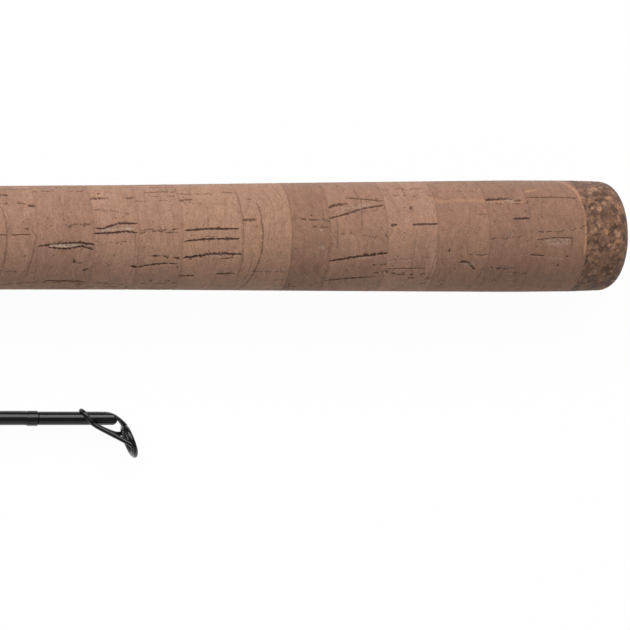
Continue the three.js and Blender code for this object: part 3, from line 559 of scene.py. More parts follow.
# Marks that stand out on the side that shows. Each has its ring, its half width in millimetres, its
# strength, and a run of places: how far along the ring from the seat's side, and how high across the
# grip from -1 to 1.
CRACKS = [
    (12, 0.28, 1.0, (0.25, 0.79), (0.42, 0.80), (0.54, 0.79)),
    (12, 0.28, 0.9, (0.87, 0.58), (1.0, 0.57)),
    (11, 0.24, 1.0, (0.02, -0.20), (0.35, -0.16), (0.75, -0.13), (1.0, -0.17)),
    (11, 0.22, 1.0, (0.2, -0.22), (0.5, -0.25), (0.78, -0.20), (0.98, -0.26)),
    (11, 0.33, 0.9, (0.66, -0.46), (0.68, -0.51)),
    (11, 0.28, 0.8, (0.84, -0.66), (0.93, -0.62)),
    (11, 0.18, 0.9, (0.2, -0.84), (0.85, -0.85)),
    (10, 0.24, 0.9, (0.0, 0.71), (0.15, 0.72), (0.38, 0.72)),
    (10, 0.22, 0.8, (0.8, 0.72), (0.98, 0.73)),
    (10, 0.18, 1.0, (0.0, 0.15), (0.2, 0.13), (0.55, 0.23), (0.97, 0.23)),
    (10, 0.20, 1.0, (0.0, 0.04), (0.4, 0.05), (0.7, 0.08), (0.97, 0.05)),
    (10, 0.28, 1.0, (0.86, -0.57), (1.0, -0.6)),
    (9, 0.20, 0.9, (0.0, -0.6), (0.3, -0.55), (0.6, -0.52), (0.9, -0.53)),
    (9, 0.22, 0.7, (0.25, 0.83), (0.7, 0.84), (0.95, 0.83)),
    (8, 0.21, 1.0, (0.03, 0.09), (0.4, 0.12), (0.95, 0.12)),
    (8, 0.20, 1.0, (0.03, -0.11), (0.4, -0.07), (0.95, -0.07)),
    (8, 0.30, 1.0, (0.02, -0.42), (0.5, -0.35), (1.0, -0.35)),
    (8, 0.24, 0.8, (0.0, -0.75), (0.25, -0.74)),
    (8, 0.22, 0.8, (0.62, -0.71), (0.93, -0.7)),
    (8, 0.20, 0.8, (0.0, 0.67), (0.22, 0.68)),
    (7, 0.26, 0.7, (0.03, 0.28), (0.3, 0.29)),
    (5, 0.16, 0.9, (0.0, 0.3), (0.3, 0.38), (0.6, 0.48), (0.97, 0.54)),
    (5, 0.15, 0.8, (0.35, 0.68), (0.6, 0.66), (0.97, 0.62)),
    (5, 0.26, 0.9, (0.0, 0.5), (0.12, 0.55), (0.35, 0.57)),
    (5, 0.27, 1.0, (0.0, -0.48), (0.35, -0.42), (0.7, -0.37), (1.0, -0.33)),
    (5, 0.18, 0.9, (0.0, -0.82), (0.4, -0.78), (0.85, -0.75)),
    (4, 0.30, 0.9, (0.07, 0.17), (0.17, 0.18)),
    (4, 0.20, 0.9, (0.5, 0.18), (0.98, 0.19)),
    (4, 0.13, 0.7, (0.02, -0.61), (0.8, -0.6)),
    (3, 0.26, 0.9, (0.45, -0.5), (0.58, -0.48), (0.78, -0.62)),
    (2, 0.28, 1.0, (0.0, 0.62), (0.4, 0.64), (0.85, 0.6)),
    (2, 0.20, 1.0, (0.6, 0.28), (0.97, 0.28)),
    (1, 0.18, 0.9, (0.0, -0.36), (0.25, -0.38)),
    (1, 0.10, 0.8, (0.1, -0.1), (0.45, -0.06), (0.75, -0.07), (0.72, -0.2)),
    (1, 0.13, 0.8, (0.0, 0.66), (0.45, 0.67), (0.9, 0.65)),
]
POWDER = [
    (11, 0.34, 1.0, (0.22, -0.19), (0.5, -0.19), (0.72, -0.17)),
    (10, 0.32, 1.0, (0.18, 0.1), (0.5, 0.14), (0.9, 0.15)),
    (9, 0.30, 0.5, (0.6, -0.59), (0.8, -0.62)),
    (8, 0.16, 0.4, (0.35, -0.37), (0.8, -0.36)),
    (6, 0.34, 0.6, (0.7, 0.1), (0.78, 0.09)),
    (6, 0.32, 0.6, (0.68, -0.2), (0.85, -0.22)),
    (5, 0.42, 0.4, (0.1, 0.42), (0.4, 0.5), (0.75, 0.56)),
    (5, 0.22, 0.5, (0.45, -0.42), (0.75, -0.41)),
    (3, 0.32, 0.6, (0.55, -0.52), (0.72, -0.53)),
    (2, 0.26, 0.8, (0.42, 0.62), (0.75, 0.62)),
    (1, 0.62, 0.5, (0.25, -0.12), (0.45, -0.15), (0.68, -0.13)),
    (1, 0.26, 0.4, (0.35, -0.4), (0.62, -0.43)),
]
GROWTH_BANDS = [
    (12, 0.16, 0.8, (0.37, 0.55), (0.43, 0.25), (0.43, -0.2), (0.4, -0.5), (0.28, -0.92)),
    (12, 0.16, 0.8, (0.92, 0.22), (0.9, 0.1), (0.98, 0.0), (0.93, -0.3), (0.82, -0.8)),
    (7, 0.20, 1.0, (0.36, 0.6), (0.4, 0.42), (0.42, 0.0), (0.4, -0.32), (0.3, -0.7), (0.12, -0.98)),
    (7, 0.14, 0.8, (0.01, 0.8), (0.03, 0.35), (0.03, -0.5), (0.0, -0.8)),
    (7, 0.14, 0.5, (0.55, 0.85), (0.65, 0.6), (0.68, 0.36)),
    (7, 0.14, 0.6, (0.75, 0.95), (0.88, 0.7), (0.98, 0.5)),
    (5, 0.13, 0.8, (0.12, 0.3), (0.13, 0.0), (0.1, -0.27)),
    (4, 0.12, 0.7, (0.99, 0.1), (0.98, -0.2), (0.95, -0.5), (0.85, -0.9)),
    (3, 0.18, 0.8, (0.97, -0.53), (0.87, -0.77), (0.78, -0.93)),
    (1, 0.10, 0.6, (0.6, 0.22), (0.7, 0.1), (0.74, -0.05)),
]
TAN_STREAKS = [
    (3, 0.45, 0.5, (0.0, 0.6), (0.5, 0.62), (1.0, 0.6)),
    (2, 0.40, 0.5, (0.0, 0.58), (1.0, 0.58)),
    (1, 0.30, 0.8, (0.0, 0.76), (0.25, 0.8)),
    (1, 0.36, 0.9, (0.78, 0.97), (0.9, 0.88), (0.97, 0.7), (0.98, 0.58)),
    (1, 0.24, 1.0, (0.99, 0.6), (0.99, 0.1), (0.98, -0.36)),
]
CHOSEN_MARKS = {"crack": CRACKS, "powder": POWDER, "growth": GROWTH_BANDS, "tan": TAN_STREAKS}


def swell(places, size, seed):
    """A smooth random swell between about -1 and 1, as wide as size, at places in millimetres."""
    dice = np.random.default_rng(seed)
    total = np.zeros(len(places))
    for _ in range(9):
        way = dice.normal(size=3)
        way *= FULL_TURN / size * dice.uniform(0.6, 1.5) / np.linalg.norm(way)
        total += np.cos(places @ way + dice.uniform(0, FULL_TURN))
    return total / 3


def way_to(path, station, angle, radius):
    """How far places on the grip lie from a line on it, in millimetres, and how far along it they lie."""
    middle = path[len(path) // 2][1]

    def round_it(turn):
        return np.radians((turn - middle + 180) % 360 - 180) * radius

    places = np.array([(at, round_it(turn)) for at, turn in path])
    lengths = np.hypot(*np.diff(places, axis=0).T)
    passed = 0
    across = round_it(angle)
    nearest, along = np.full(len(station), np.inf), np.zeros(len(station))
    for start, end, length in zip(places, places[1:], lengths):
        run = end - start
        share = ((station - start[0]) * run[0] + (across - start[1]) * run[1]) / max(run @ run, 1e-6)
        share = np.clip(share, 0, 1)
        gap = np.hypot(station - start[0] - share * run[0], across - start[1] - share * run[1])
        closer = gap < nearest
        nearest = np.where(closer, gap, nearest)
        along = np.where(closer, (passed + share * length) / lengths.sum(), along)
        passed += length
    return nearest, along


def chosen_marks(ring, marks, start, end):
    """The chosen marks of one ring, their runs as stations and angles from the side that shows."""
    for number, half, strength, *run in marks:
        if number == ring:
            path = [(end - along * (end - start), math.degrees(math.asin(high))) for along, high in run]
            yield (half, strength, *path)


def chance_marks(start, end, dice):
    """Lenticels in broken rows along a ring, stretches of growth lines round it, and small pits."""
    marks = {"crack": [], "powder": [], "growth": [], "tan": []}
    for _ in range(dice.integers(11, 17)):
        turn = dice.uniform(0, 360)
        station = start + dice.uniform(-1, 3)
        half, strength = dice.uniform(0.08, 0.22), dice.uniform(0.25, 0.8)
        while station < end - 0.5 and dice.random() < 0.8:
            length = dice.gamma(2.0, 0.8)
            stop = min(station + length, end - 0.02)
            first = max(station, start + 0.02)
            if stop > first + 0.3:
                drift = dice.normal(0, 1.2)
                bend = ((first + stop) / 2, turn + drift + dice.normal(0, 0.6))
                path = [(first, turn), bend, (stop, turn + drift)]
                marks["crack"].append((half * dice.uniform(0.6, 1.3), strength, *path))
                if dice.random() < 0.18:
                    marks["powder"].append((half * 0.9, dice.uniform(0.3, 0.6), *path))
                turn += drift
            station = stop + dice.gamma(2.0, 0.6)
    for _ in range(dice.integers(2, 5)):
        station, turn = dice.uniform(start + 1, end - 1), dice.uniform(0, 360)
        path = [(station, turn)]
        for _ in range(dice.integers(2, 5)):
            station = float(np.clip(station + dice.normal(0, 0.5), start + 0.2, end - 0.2))
            turn += dice.uniform(10, 26)
            path.append((station, turn))
        marks["growth"].append((dice.uniform(0.07, 0.15), dice.uniform(0.3, 0.8), *path))
    for _ in range(dice.integers(3, 8)):
        station, turn = dice.uniform(start + 0.8, end - 0.8), dice.uniform(0, 360)
        half, strength = dice.uniform(0.15, 0.3), dice.uniform(0.4, 0.9)
        other_end = (station + dice.normal(0, 0.3), turn + dice.normal(0, 1.5))
        marks["crack"].append((half, strength, (station, turn), other_end))
    return marks


def places_on(bm):
    """The places of a grip's points, their stations and their angles in degrees."""
    co = np.array([vert.co for vert in bm.verts])
    return co, -co[:, 0], np.degrees(np.arctan2(co[:, 1], co[:, 2]))


def out_from_axis(co):
    """How far each point lies from the grip's axis."""
    return np.hypot(co[:, 1], co[:, 2])


def cut_finer(bm, marks, middle, bore):
    """Cuts a ring's faces twice where its marks are, so that they can be cut in sharply."""
    for reach in (0.5, 0.25):
        co, station, angle = places_on(bm)
        near = np.zeros(len(co), bool)
        for kind in ("crack", "powder", "growth"):
            for half, _, *path in marks[kind]:
                near |= way_to(path, station, angle, middle)[0] < half + reach
        near &= out_from_axis(co) > bore + SKIN
        edges = [edge for edge in bm.edges if all(near[vert.index] for vert in edge.verts)]
        bmesh.ops.subdivide_edges(bm, edges=edges, cuts=1, use_grid_fill=True)


def cover_of(marks, number, middle, co, station, angle):
    """How much of each kind of mark covers each point, from 0 to 1. The marks' edges are ragged."""
    ragged = 1 + 0.45 * swell(co, 0.9, number) + 0.3 * swell(co, 0.4, number + 50)
    cover = {}
    for kind, found in marks.items():
        cover[kind] = np.zeros(len(co))
        for half, strength, *path in found:
            gap, along = way_to(path, station, angle, middle)
            taper = 0.35 + 0.65 * np.sqrt(np.clip(1 - (2 * along - 1) ** 4, 0, 1))
            inside = np.clip((half * ragged * taper - gap) / BLEND_EDGE + 0.5, 0, 1) * strength
            cover[kind] = np.maximum(cover[kind], inside)
    return cover


def cork_ring(name, node, number, radius_at, tone):
    """A ring of natural cork: pits and cracks are cut into it, and its marks are kept as attributes."""
    start, end, widest = span(node)
    bore = radius_of_blank(start)
    rows = [(station, float(radius_at(station))) for station in steps_between(start, end, CORK_ROW)]
    bm = turned([*rows, (end, bore), (start, bore)], CORK_STEPS, closed=True)
    dice = np.random.default_rng(100 + number)
    marks = chance_marks(start, end, dice)
    for kind, chosen in CHOSEN_MARKS.items():
        marks[kind] += chosen_marks(number, chosen, start, end)
    middle = float(radius_at((start + end) / 2))
    cut_finer(bm, marks, middle, bore)

    co, station, angle = places_on(bm)
    cover = cover_of(marks, number, middle, co, station, angle)
    lean = dice.uniform(-1.6, 1.6, 3)
    wave = swell(co * (0.2, 1, 1), 11, number + 20) * 1.3 + swell(co * (0.2, 1, 1), 4, number + 30) * 0.3
    years = station + 40 * number + wave + co @ (lean / 14)
    joint = np.clip(1 - np.minimum(station - start, end - station) / JOINT_WIDTH, 0, 1)
    depth = CRACK_DEPTH * cover["crack"] * (1 - 0.6 * cover["powder"]) + POWDER_DEPTH * cover["powder"]
    depth += GROWTH_DEPTH * cover["growth"] + UNEVEN * swell(co, 1.4, number + 60)
    depth += JOINT_DEPTH * joint + SANDED_DEPTH
    was = out_from_axis(co)
    radius = np.minimum(radius_at(station), widest) - depth
    for vert, size in zip(bm.verts, np.where(was > bore + SKIN, radius / was, 1)):
        vert.co.yz = Vector(vert.co.yz) * size

    around = np.radians(angle) * middle
    same = np.ones(len(co))
    piece = finished(name, bm, node, cork)
    keep(piece, "growth", years, around + 13 * number, tone * same)
    keep(piece, "pits", cover["crack"], cover["powder"], 0.8 * joint)
    keep(piece, "streaks", cover["growth"], cover["tan"], dice.uniform(-1, 1) * same)


def keep(piece, name, *columns):
    """Keeps three values for each point of a piece, which its finish reads."""
    values = np.stack(columns, axis=1).astype(np.float32)
    piece.data.attributes.new(name, "FLOAT_VECTOR", "POINT").data.foreach_set("vector", values.ravel())


# Composite cork
def cut_grains(bm, seed, chosen=()):
    """Cuts the grains of composite cork into a shape, and gives each point's tone, seam and hue."""
    bm.normal_update()
    co = np.array([vert.co for vert in bm.verts])
    dice = np.random.default_rng(seed)
    low, high = co.min(0) - GRAIN_SIZE, co.max(0) + GRAIN_SIZE
    spots = [
        Vector((x, y, z)) + Vector(dice.uniform(-0.48, 0.48, 3) * GRAIN_SIZE)
        for x in np.arange(low[0], high[0], GRAIN_SIZE)
        for y in np.arange(low[1], high[1], GRAIN_SIZE)
        for z in np.arange(low[2], high[2], GRAIN_SIZE)
    ]
    spots = [spot for spot in spots if all((spot - place).length > reach for place, reach, _, _ in chosen)]
    tones = [(dice.beta(1.8, 2.0), float(dice.random() < 0.07) * dice.uniform(0.3, 0.9)) for _ in spots]
    for place, _, tone, hue in chosen:
        spots.append(place)
        tones.append((tone, hue))
    tree = kdtree.KDTree(len(spots))
    for at, spot in enumerate(spots):
        tree.insert(spot, at)
    tree.balance()
    grain = np.zeros((len(co), 3))
    wobble = np.stack([swell(co, 1.1, seed + axis) for axis in range(3)], axis=1) * 0.22
    for at, (vert, shift) in enumerate(zip(bm.verts, wobble)):
        (_, first, near), (_, _, far) = tree.find_n(vert.co + Vector(shift), 2)
        tone, hue = tones[first]
        seam = np.clip(1 - (far - near) / SEAM_WIDTH, 0, 1)
        grain[at] = tone, seam, hue
        if math.hypot(vert.co.y, vert.co.z) > BORE_CLEAR or vert.co.x > -1:
            vert.co -= vert.normal * (SEAM_DEPTH * seam + DARK_GRAIN_DEPTH * max(0, 0.5 - tone))
    return grain


def light_grains():
    """A few light grains on the side of the cap that shows: place, reach, tone and orange tint."""
    for station, high, reach, tone, hue in (
        (7.6, 0.83, 0.8, 0.95, 0.3), (8.2, 0.94, 0.7, 0.9, 0.0), (10.2, 0.45, 0.7, 0.97, 0.0),
        (8.4, 0.46, 0.7, 0.9, 0.1), (10.0, 0.08, 0.7, 0.92, 0.2), (7.2, 0.06, 1.0, 0.85, 0.9),
        (5.0, 0.66, 1.1, 0.9, 0.9), (3.4, 0.52, 1.0, 0.9, 0.8),
    ):
        across = Vector((high, math.sqrt(1 - high * high))) * CAP_RADIUS
        yield Vector((-station, *across)), reach, tone, hue


def grip_cap():
    """The cap on the butt: rounded at its edge, flat at its end, with a blind bore for the blank."""
    _, end, _ = span("butt_cap")
    radius_at = grip_radius("butt_cap", "rear_cork_01")
    flat = float(radius_at(CAP_CORNER)) - CAP_CORNER
    bore = radius_of_blank(end)
    rows = [(0, radius) for radius in steps_between(0, flat, 0.22)]
    for turn in steps_between(0, QUARTER_TURN, 0.065)[1:]:
        rows.append((CAP_CORNER * (1 - math.cos(turn)), flat + CAP_CORNER * math.sin(turn)))
    rows += [(station, float(radius_at(station))) for station in steps_between(CAP_CORNER, end, 0.27)[1:]]
    rows += [(end, bore), (end - CAP_BORE_DEPTH, bore), (end - CAP_BORE_DEPTH, 0)]
    bm = turned(rows, CAP_STEPS)
    grain = cut_grains(bm, 7, list(light_grains()))
    keep(finished("butt_grip_cap", bm, "butt_cap", composite), "grain", *grain.T)


def fore_trim():
    """The ring of composite cork that ends the foregrip."""
    start, end, _ = span("fore_trim_ring")
    radius_at = grip_radius("fore_cork_3", "fore_trim_ring")
    bore = radius_of_blank(start)
    rows = [(station, float(radius_at(station))) for station in steps_between(start, end, 0.3)]
    bm = turned([*rows, (end, bore), (start, bore)], TRIM_STEPS, closed=True)
    grain = cut_grains(bm, 11)
    keep(finished("foregrip_end_ring", bm, "fore_trim_ring", composite), "grain", *grain.T)


def cork_grips():
    """The rear grip of sixteen rings and the foregrip of three, each with its own tone."""
    rear = [f"rear_cork_{number:02d}" for number in range(1, REAR_RINGS + 1)]
    radius_at = grip_radius("butt_cap", *rear)
    for number, node in enumerate(rear, 1):
        tone = RING_TONES[number - 1] if number <= len(RING_TONES) else 1.0
        cork_ring(f"cork_ring_{number:02d}", node, number, radius_at, tone)
    fore = [f"fore_cork_{number}" for number in range(1, FORE_RINGS + 1)]
    radius_at = grip_radius(*fore, "fore_trim_ring")
    for number, node in enumerate(fore, 1):
        cork_ring(f"foregrip_cork_{number}", node, 20 + number, radius_at, 0.94 + 0.04 * number)


def grip_radius(*nodes):
    """A smooth radius along a grip, from the outside of its rings."""
    return eased([row for row in rows_of(*nodes) if row[1] > BORE_CLEAR + 1 and row[0] > CAP_CORNER - 0.1])


# Turned trim
def trim_rings():
    """The metal ring between grip and seat, and the winding check where the foregrip ends."""
    edge = 0.3
    lip = 1.1
    groove = 0.25
    start, end, radius = span("rear_trim_ring")
    bore = radius_of_blank(start)
    rows = [(start, bore), (start, radius - edge), (start + edge, radius), (start + lip, radius)]
    rows += [(start + lip + 0.15, radius - groove), (end - lip - 0.15, radius - groove)]
    rows += [(end - lip, radius), (end - edge, radius), (end, radius - edge), (end, bore)]
    finished("grip_trim_ring", turned(rows, 144, closed=True), "rear_trim_ring", trim_metal, sharp=25)

    bead = 0.15
    neck = 1.4
    start, end, radius = span("winding_check")
    bore = radius_of_blank(start)
    tip = rows_of("winding_check")[-1][1]
    rows = [(start, bore), (start, radius - bead), (start + bead, radius), (start + 0.9, radius - 0.1)]
    rows += [(start + 1.0, radius - 0.45), (start + 1.3, radius - 0.5), (start + neck, radius - groove)]
    for turn in steps_between(0, QUARTER_TURN, 0.2):
        drop = radius - groove - tip
        rows.append((start + neck + (end - start - neck) * math.sin(turn), tip + drop * math.cos(turn)))
    rows.append((end, bore))
    finished("blank_end_check", turned(rows, 128, closed=True), "winding_check", trim_metal, sharp=25)


# Reel seat
SEAT_BORE = 8.3
FLANGE_LENGTH = 3
SEAT_EDGE = 0.4
BARREL = 10.9
BARREL_ROWS = (250, 255, 260, 275, 281, 287)
BED = 9.0
BED_START, BED_END = 229.4, 328.4
PAD = 9.2
PAD_START, PAD_END = 245.4, 268.4
KEYWAY_START = 266.6
KEYWAY_FLOOR = 9.3
KEYWAY_SIDE = 1.5
SMALL_STEP = 0.03
THREAD_ROOT = 9.9
THREAD_START = 292.4
THREAD_PITCH = 4.0
THREAD_STEPS = 72
RIDGE_HALF = 1.2
RIDGE_TOP_HALF = 0.6
RIDGE_EDGE = 0.15
RIDGE_ROOTED = 0.3
RIDGE_SUNK = 0.05
ROOT_ROWS = (296, 326)


def cut_flats(bm, sunk=0.0):
    """Cuts the flat bed for the reel foot into the seat's top, and the keyway into its underside."""
    planes = [((0, height, 0), (0, 1, 0)) for height in (BED, PAD)]
    for side in (-1, 1):
        for wide in (KEYWAY_SIDE, KEYWAY_SIDE - SMALL_STEP):
            planes.append(((0, 0, side * wide), (0, 0, 1)))
    for place, way in planes:
        everything = bm.verts[:] + bm.edges[:] + bm.faces[:]
        bmesh.ops.bisect_plane(bm, geom=everything, dist=1e-5, plane_co=place, plane_no=way)
    for vert in bm.verts:
        station = -vert.co.x
        if BED_START < station < BED_END:
            vert.co.y = min(vert.co.y, (PAD if PAD_START < station < PAD_END else BED) - sunk)
        if station > KEYWAY_START and abs(vert.co.z) < KEYWAY_SIDE - SMALL_STEP / 2:
            vert.co.y = max(vert.co.y, sunk - KEYWAY_FLOOR)
    return bm


def thread_ridge(base, crest, start, end, shift=0.0):
    """One turn after another of the thread between two stations, as a closed ridge."""
    first = start + RIDGE_HALF
    turns = (end - start - 2 * RIDGE_HALF) / THREAD_PITCH
    phase = -FULL_TURN * ((first - THREAD_START - shift) / THREAD_PITCH + 0.5 / 16)
    edge = math.copysign(RIDGE_EDGE, crest - base)
    profile = [(-RIDGE_HALF, base), (-RIDGE_HALF + 0.45, crest - edge), (-RIDGE_TOP_HALF, crest)]
    profile += [(-along, radius) for along, radius in reversed(profile)]
    bm = bmesh.new()
    bm.faces.new([
        bm.verts.new((-first - along, radius * math.cos(phase), radius * math.sin(phase)))
        for along, radius in profile
    ])
    count = round(turns * THREAD_STEPS)
    bmesh.ops.spin(
        bm, geom=bm.faces[:], cent=(0, 0, 0), axis=(1, 0, 0), dvec=(-THREAD_PITCH / THREAD_STEPS, 0, 0),
        angle=-FULL_TURN * count / THREAD_STEPS, steps=count,
    )
    bmesh.ops.recalc_face_normals(bm, faces=bm.faces)
    return bm


def reel_seat():
    """The seat's tube: a flange, a barrel with its flats, and the thread for the lock nut."""
    start, end, flange = span("reel_seat_body")
    lip = start + FLANGE_LENGTH
    rows = [(start, flange - SEAT_EDGE), (start + SEAT_EDGE, flange), (lip - SEAT_EDGE, flange)]
    rows += [(lip, flange - SEAT_EDGE), (lip + 0.02, BARREL), (lip + 3, BARREL)]
    for edge in (BED_START, PAD_START, KEYWAY_START, PAD_END):
        rows += [(edge - SMALL_STEP, BARREL), (edge + SMALL_STEP, BARREL)]
    rows += [(station, BARREL) for station in BARREL_ROWS]
    rows += [(THREAD_START - 0.3, BARREL), (THREAD_START + 0.4, THREAD_ROOT)]
    rows += [(station, THREAD_ROOT) for station in steps_between(*ROOT_ROWS, 3)]
    rows += [(BED_END - SMALL_STEP, THREAD_ROOT), (BED_END + SMALL_STEP, THREAD_ROOT)]
    rows += [(end - 0.5, THREAD_ROOT), (end, THREAD_ROOT - SEAT_EDGE)]
    rows.sort(key=lambda row: (row[0], -row[1]))
    bm = turned([(start, SEAT_BORE), *rows, (end, SEAT_BORE)], 128, closed=True)
    ridge = thread_ridge(THREAD_ROOT - RIDGE_ROOTED, BARREL, THREAD_START, BED_END)
    bm = added(cut_flats(bm), cut_flats(ridge, RIDGE_SUNK))
    finished("seat_tube", bm, "reel_seat_body", seat_plastic, sharp=30)


# Hoods. A row's radius also says which form it follows. Near ON_OUTSIDE it follows the outside of
# the liner, at ON_POCKET the pocket for the reel foot, and below both it is a plain radius. What it
# has more or less than ON_OUTSIDE is how far it lies outside or inside the liner.
ON_OUTSIDE = 30.0
ON_POCKET = 60.0
NEAR = 5
LINER_IN = 11.2
LINER_OUT = 12.5
LINER_TOP = 15.0
LINER_SIDE = 7.7
POCKET_TOP = 13.8
POCKET_SIDE = 6.5
POCKET_DEPTH = 14.0
BOX_CORNER = 16
SHELL_OUT = 0.85
SHELL_IN = 0.15
ROLLED_EDGE = 0.9
END_PLATE = 1.2
FLAT_TOP_SHARE = 0.55
HOOD_STEPS = 160
LUG_LENGTH = 8
LUG_WIDTH = 2.4
LUG_TOP, LUG_FOOT = 11.35, 9.6
LUG_EDGE = 0.2

# Where each hood's mouth is, which way it runs, its length and bore, and its liner's
HOODS = {
    "fixed_hood": (243.4, -1, (23.85, 11.05), (22.5, 11.05)),
    "moving_hood": (288.6, 1, (26.0, 12.52), (22.9, 11.2)),
}


def boxed(angle, top, side):
    """The radius of a box with rounded corners, at an angle from its top."""
    up, across = math.cos(angle) / top, abs(math.sin(angle)) / side
    if up <= 0:
        return 0.0
    return (up ** BOX_CORNER + across ** BOX_CORNER) ** (-1 / BOX_CORNER)


def hood_form(length, mouth, way):
    """The form of a hood whose mouth is at a station and which runs on that way from it."""
    def radius_at(station, angle, marker):
        if marker > ON_POCKET - NEAR:
            return max(LINER_IN, boxed(angle, POCKET_TOP, POCKET_SIDE))
        if marker < ON_OUTSIDE - NEAR:
            return marker
        offset = marker - ON_OUTSIDE
        share = (station - mouth) * way / length
        past = max(0.0, share - FLAT_TOP_SHARE) / (1 - FLAT_TOP_SHARE)
        rise = (LINER_TOP - LINER_OUT) * (1 - 0.55 * past * past)
        return max(LINER_OUT + offset, boxed(angle, LINER_OUT + rise + offset, LINER_SIDE + offset))

    return radius_at


def hood_shell(length, bore):
    """Rows of depth and marked radius: a shell with a rolled lip and a closed end."""
    out, inner = ON_OUTSIDE + SHELL_OUT, ON_OUTSIDE + SHELL_IN
    rows = [(0.0, out - 0.55), (0.0, out - 0.2), (0.2, out)]
    rows += [(1.6, out), (1.8, out - 0.12), (2.1, out - 0.12), (2.3, out)]
    rows += [(depth, out) for depth in steps_between(3.2, length - ROLLED_EDGE, 1.1)]
    for turn in steps_between(0, QUARTER_TURN, 0.3)[1:]:
        drop = ROLLED_EDGE * (1 - math.cos(turn))
        rows.append((length - ROLLED_EDGE + ROLLED_EDGE * math.sin(turn), out - drop))
    rows += [(length, bore), (length - END_PLATE, bore), (length - END_PLATE, inner - 0.05)]
    rows += [(depth, inner) for depth in steps_between(length - END_PLATE - 0.2, 0.4, -2)]
    return rows


def hood_liner(length, bore):
    """Rows of depth and marked radius: a liner with the pocket for the reel foot."""
    rows = [(0.05, ON_POCKET), (0.0, ON_OUTSIDE + 0.05)]
    rows += [(depth, ON_OUTSIDE) for depth in steps_between(0.6, length, 1.4)]
    rows += [(length, bore), (POCKET_DEPTH + 0.02, bore), (POCKET_DEPTH, ON_POCKET), (7, ON_POCKET)]
    return rows


def keyway_lug(mouth):
    """The lug that keeps the moving hood from turning on the seat."""
    lug = bmesh.new()
    place = Matrix.Translation((-mouth - LUG_LENGTH / 2, -(LUG_TOP + LUG_FOOT) / 2, 0))
    size = Matrix.Diagonal((LUG_LENGTH, LUG_TOP - LUG_FOOT, LUG_WIDTH, 1))
    bmesh.ops.create_cube(lug, size=1, matrix=place @ size)
    bmesh.ops.bevel(lug, geom=lug.edges[:], offset=LUG_EDGE, segments=2, affect="EDGES", profile=0.5)
    return lug


def hood(name, mouth, way, shell, liner):
    """A metal hood and the plastic liner in it."""
    form = hood_form(shell[0], mouth, way)
    for piece, node, rows, finish in (
        (f"{name}_shell", name, hood_shell(*shell), hood_metal),
        (f"{name}_lining", f"{name}_liner", hood_liner(*liner), liner_plastic),
    ):
        placed = [(mouth + way * depth, radius) for depth, radius in rows]
        bm = reshaped(turned(placed, HOOD_STEPS, closed=True), form)
        if node == "moving_hood_liner":
            added(bm, keyway_lug(mouth))
        finished(piece, bm, node, finish, sharp=32)


# Lock nut
NUT_NECK = 2.5
NUT_NECK_OUT = 12.22
NUT_OUT = 13.2
NUT_BORE = 11.42
NUT_GROOVE = 0.45
NUT_CHAMFER = 0.3
FLUTES = 36
FLUTE_DEPTH = 0.42
FLUTE_RUN_OUT = 1.2
PLAIN_END = 2.5
THREAD_PLAY = 0.35


def lock_nut():
    """The lock nut: fluted for the fingers, with a neck that turns in the moving hood."""
    neck_start, end, _ = span("lock_nut")
    start = neck_start + NUT_NECK
    rows = [(neck_start, NUT_BORE), (neck_start, NUT_NECK_OUT - 0.12), (neck_start + 0.15, NUT_NECK_OUT)]
    rows += [(start, NUT_NECK_OUT), (start, NUT_OUT - 0.7)]
    rows += [(start + 0.25, NUT_OUT - 0.25), (start + 0.8, NUT_OUT)]
    floor = NUT_OUT - NUT_GROOVE
    groove = [(1.7, NUT_OUT), (1.95, floor), (2.3, floor), (PLAIN_END, NUT_OUT)]
    rows += [(start + depth, radius) for depth, radius in groove]
    rows += [(station, NUT_OUT) for station in steps_between(start + 3.1, end - 3.1, 0.8)]
    rows += [(end - depth, radius) for depth, radius in reversed(groove)]
    rows += [(end - 0.8, NUT_OUT), (end - 0.25, NUT_OUT - 0.3), (end, NUT_OUT - 0.8)]
    rows += [(end, NUT_BORE + NUT_CHAMFER), (end - NUT_CHAMFER, NUT_BORE)]

    def fluted(station, angle, radius):
        inside = min(station - start - PLAIN_END, end - PLAIN_END - station)
        if radius < NUT_OUT - 0.1 or inside < 0:
            return radius
        flute = max(0.0, math.cos(FLUTES * angle)) ** 0.7
        return radius - FLUTE_DEPTH * flute * min(1.0, inside / FLUTE_RUN_OUT)

    bm = reshaped(turned(rows, 12 * FLUTES, closed=True), fluted)
    ridge = thread_ridge(NUT_BORE + RIDGE_ROOTED, THREAD_ROOT + THREAD_PLAY, start, end, THREAD_PITCH / 2)
    finished("hood_lock_nut", added(bm, ridge), "lock_nut", nut_plastic, sharp=30)


# Blanks
BLANK_WALL = 1.0
FERRULE_LENGTH = 65
SOCKET_CLEARANCE = 0.1


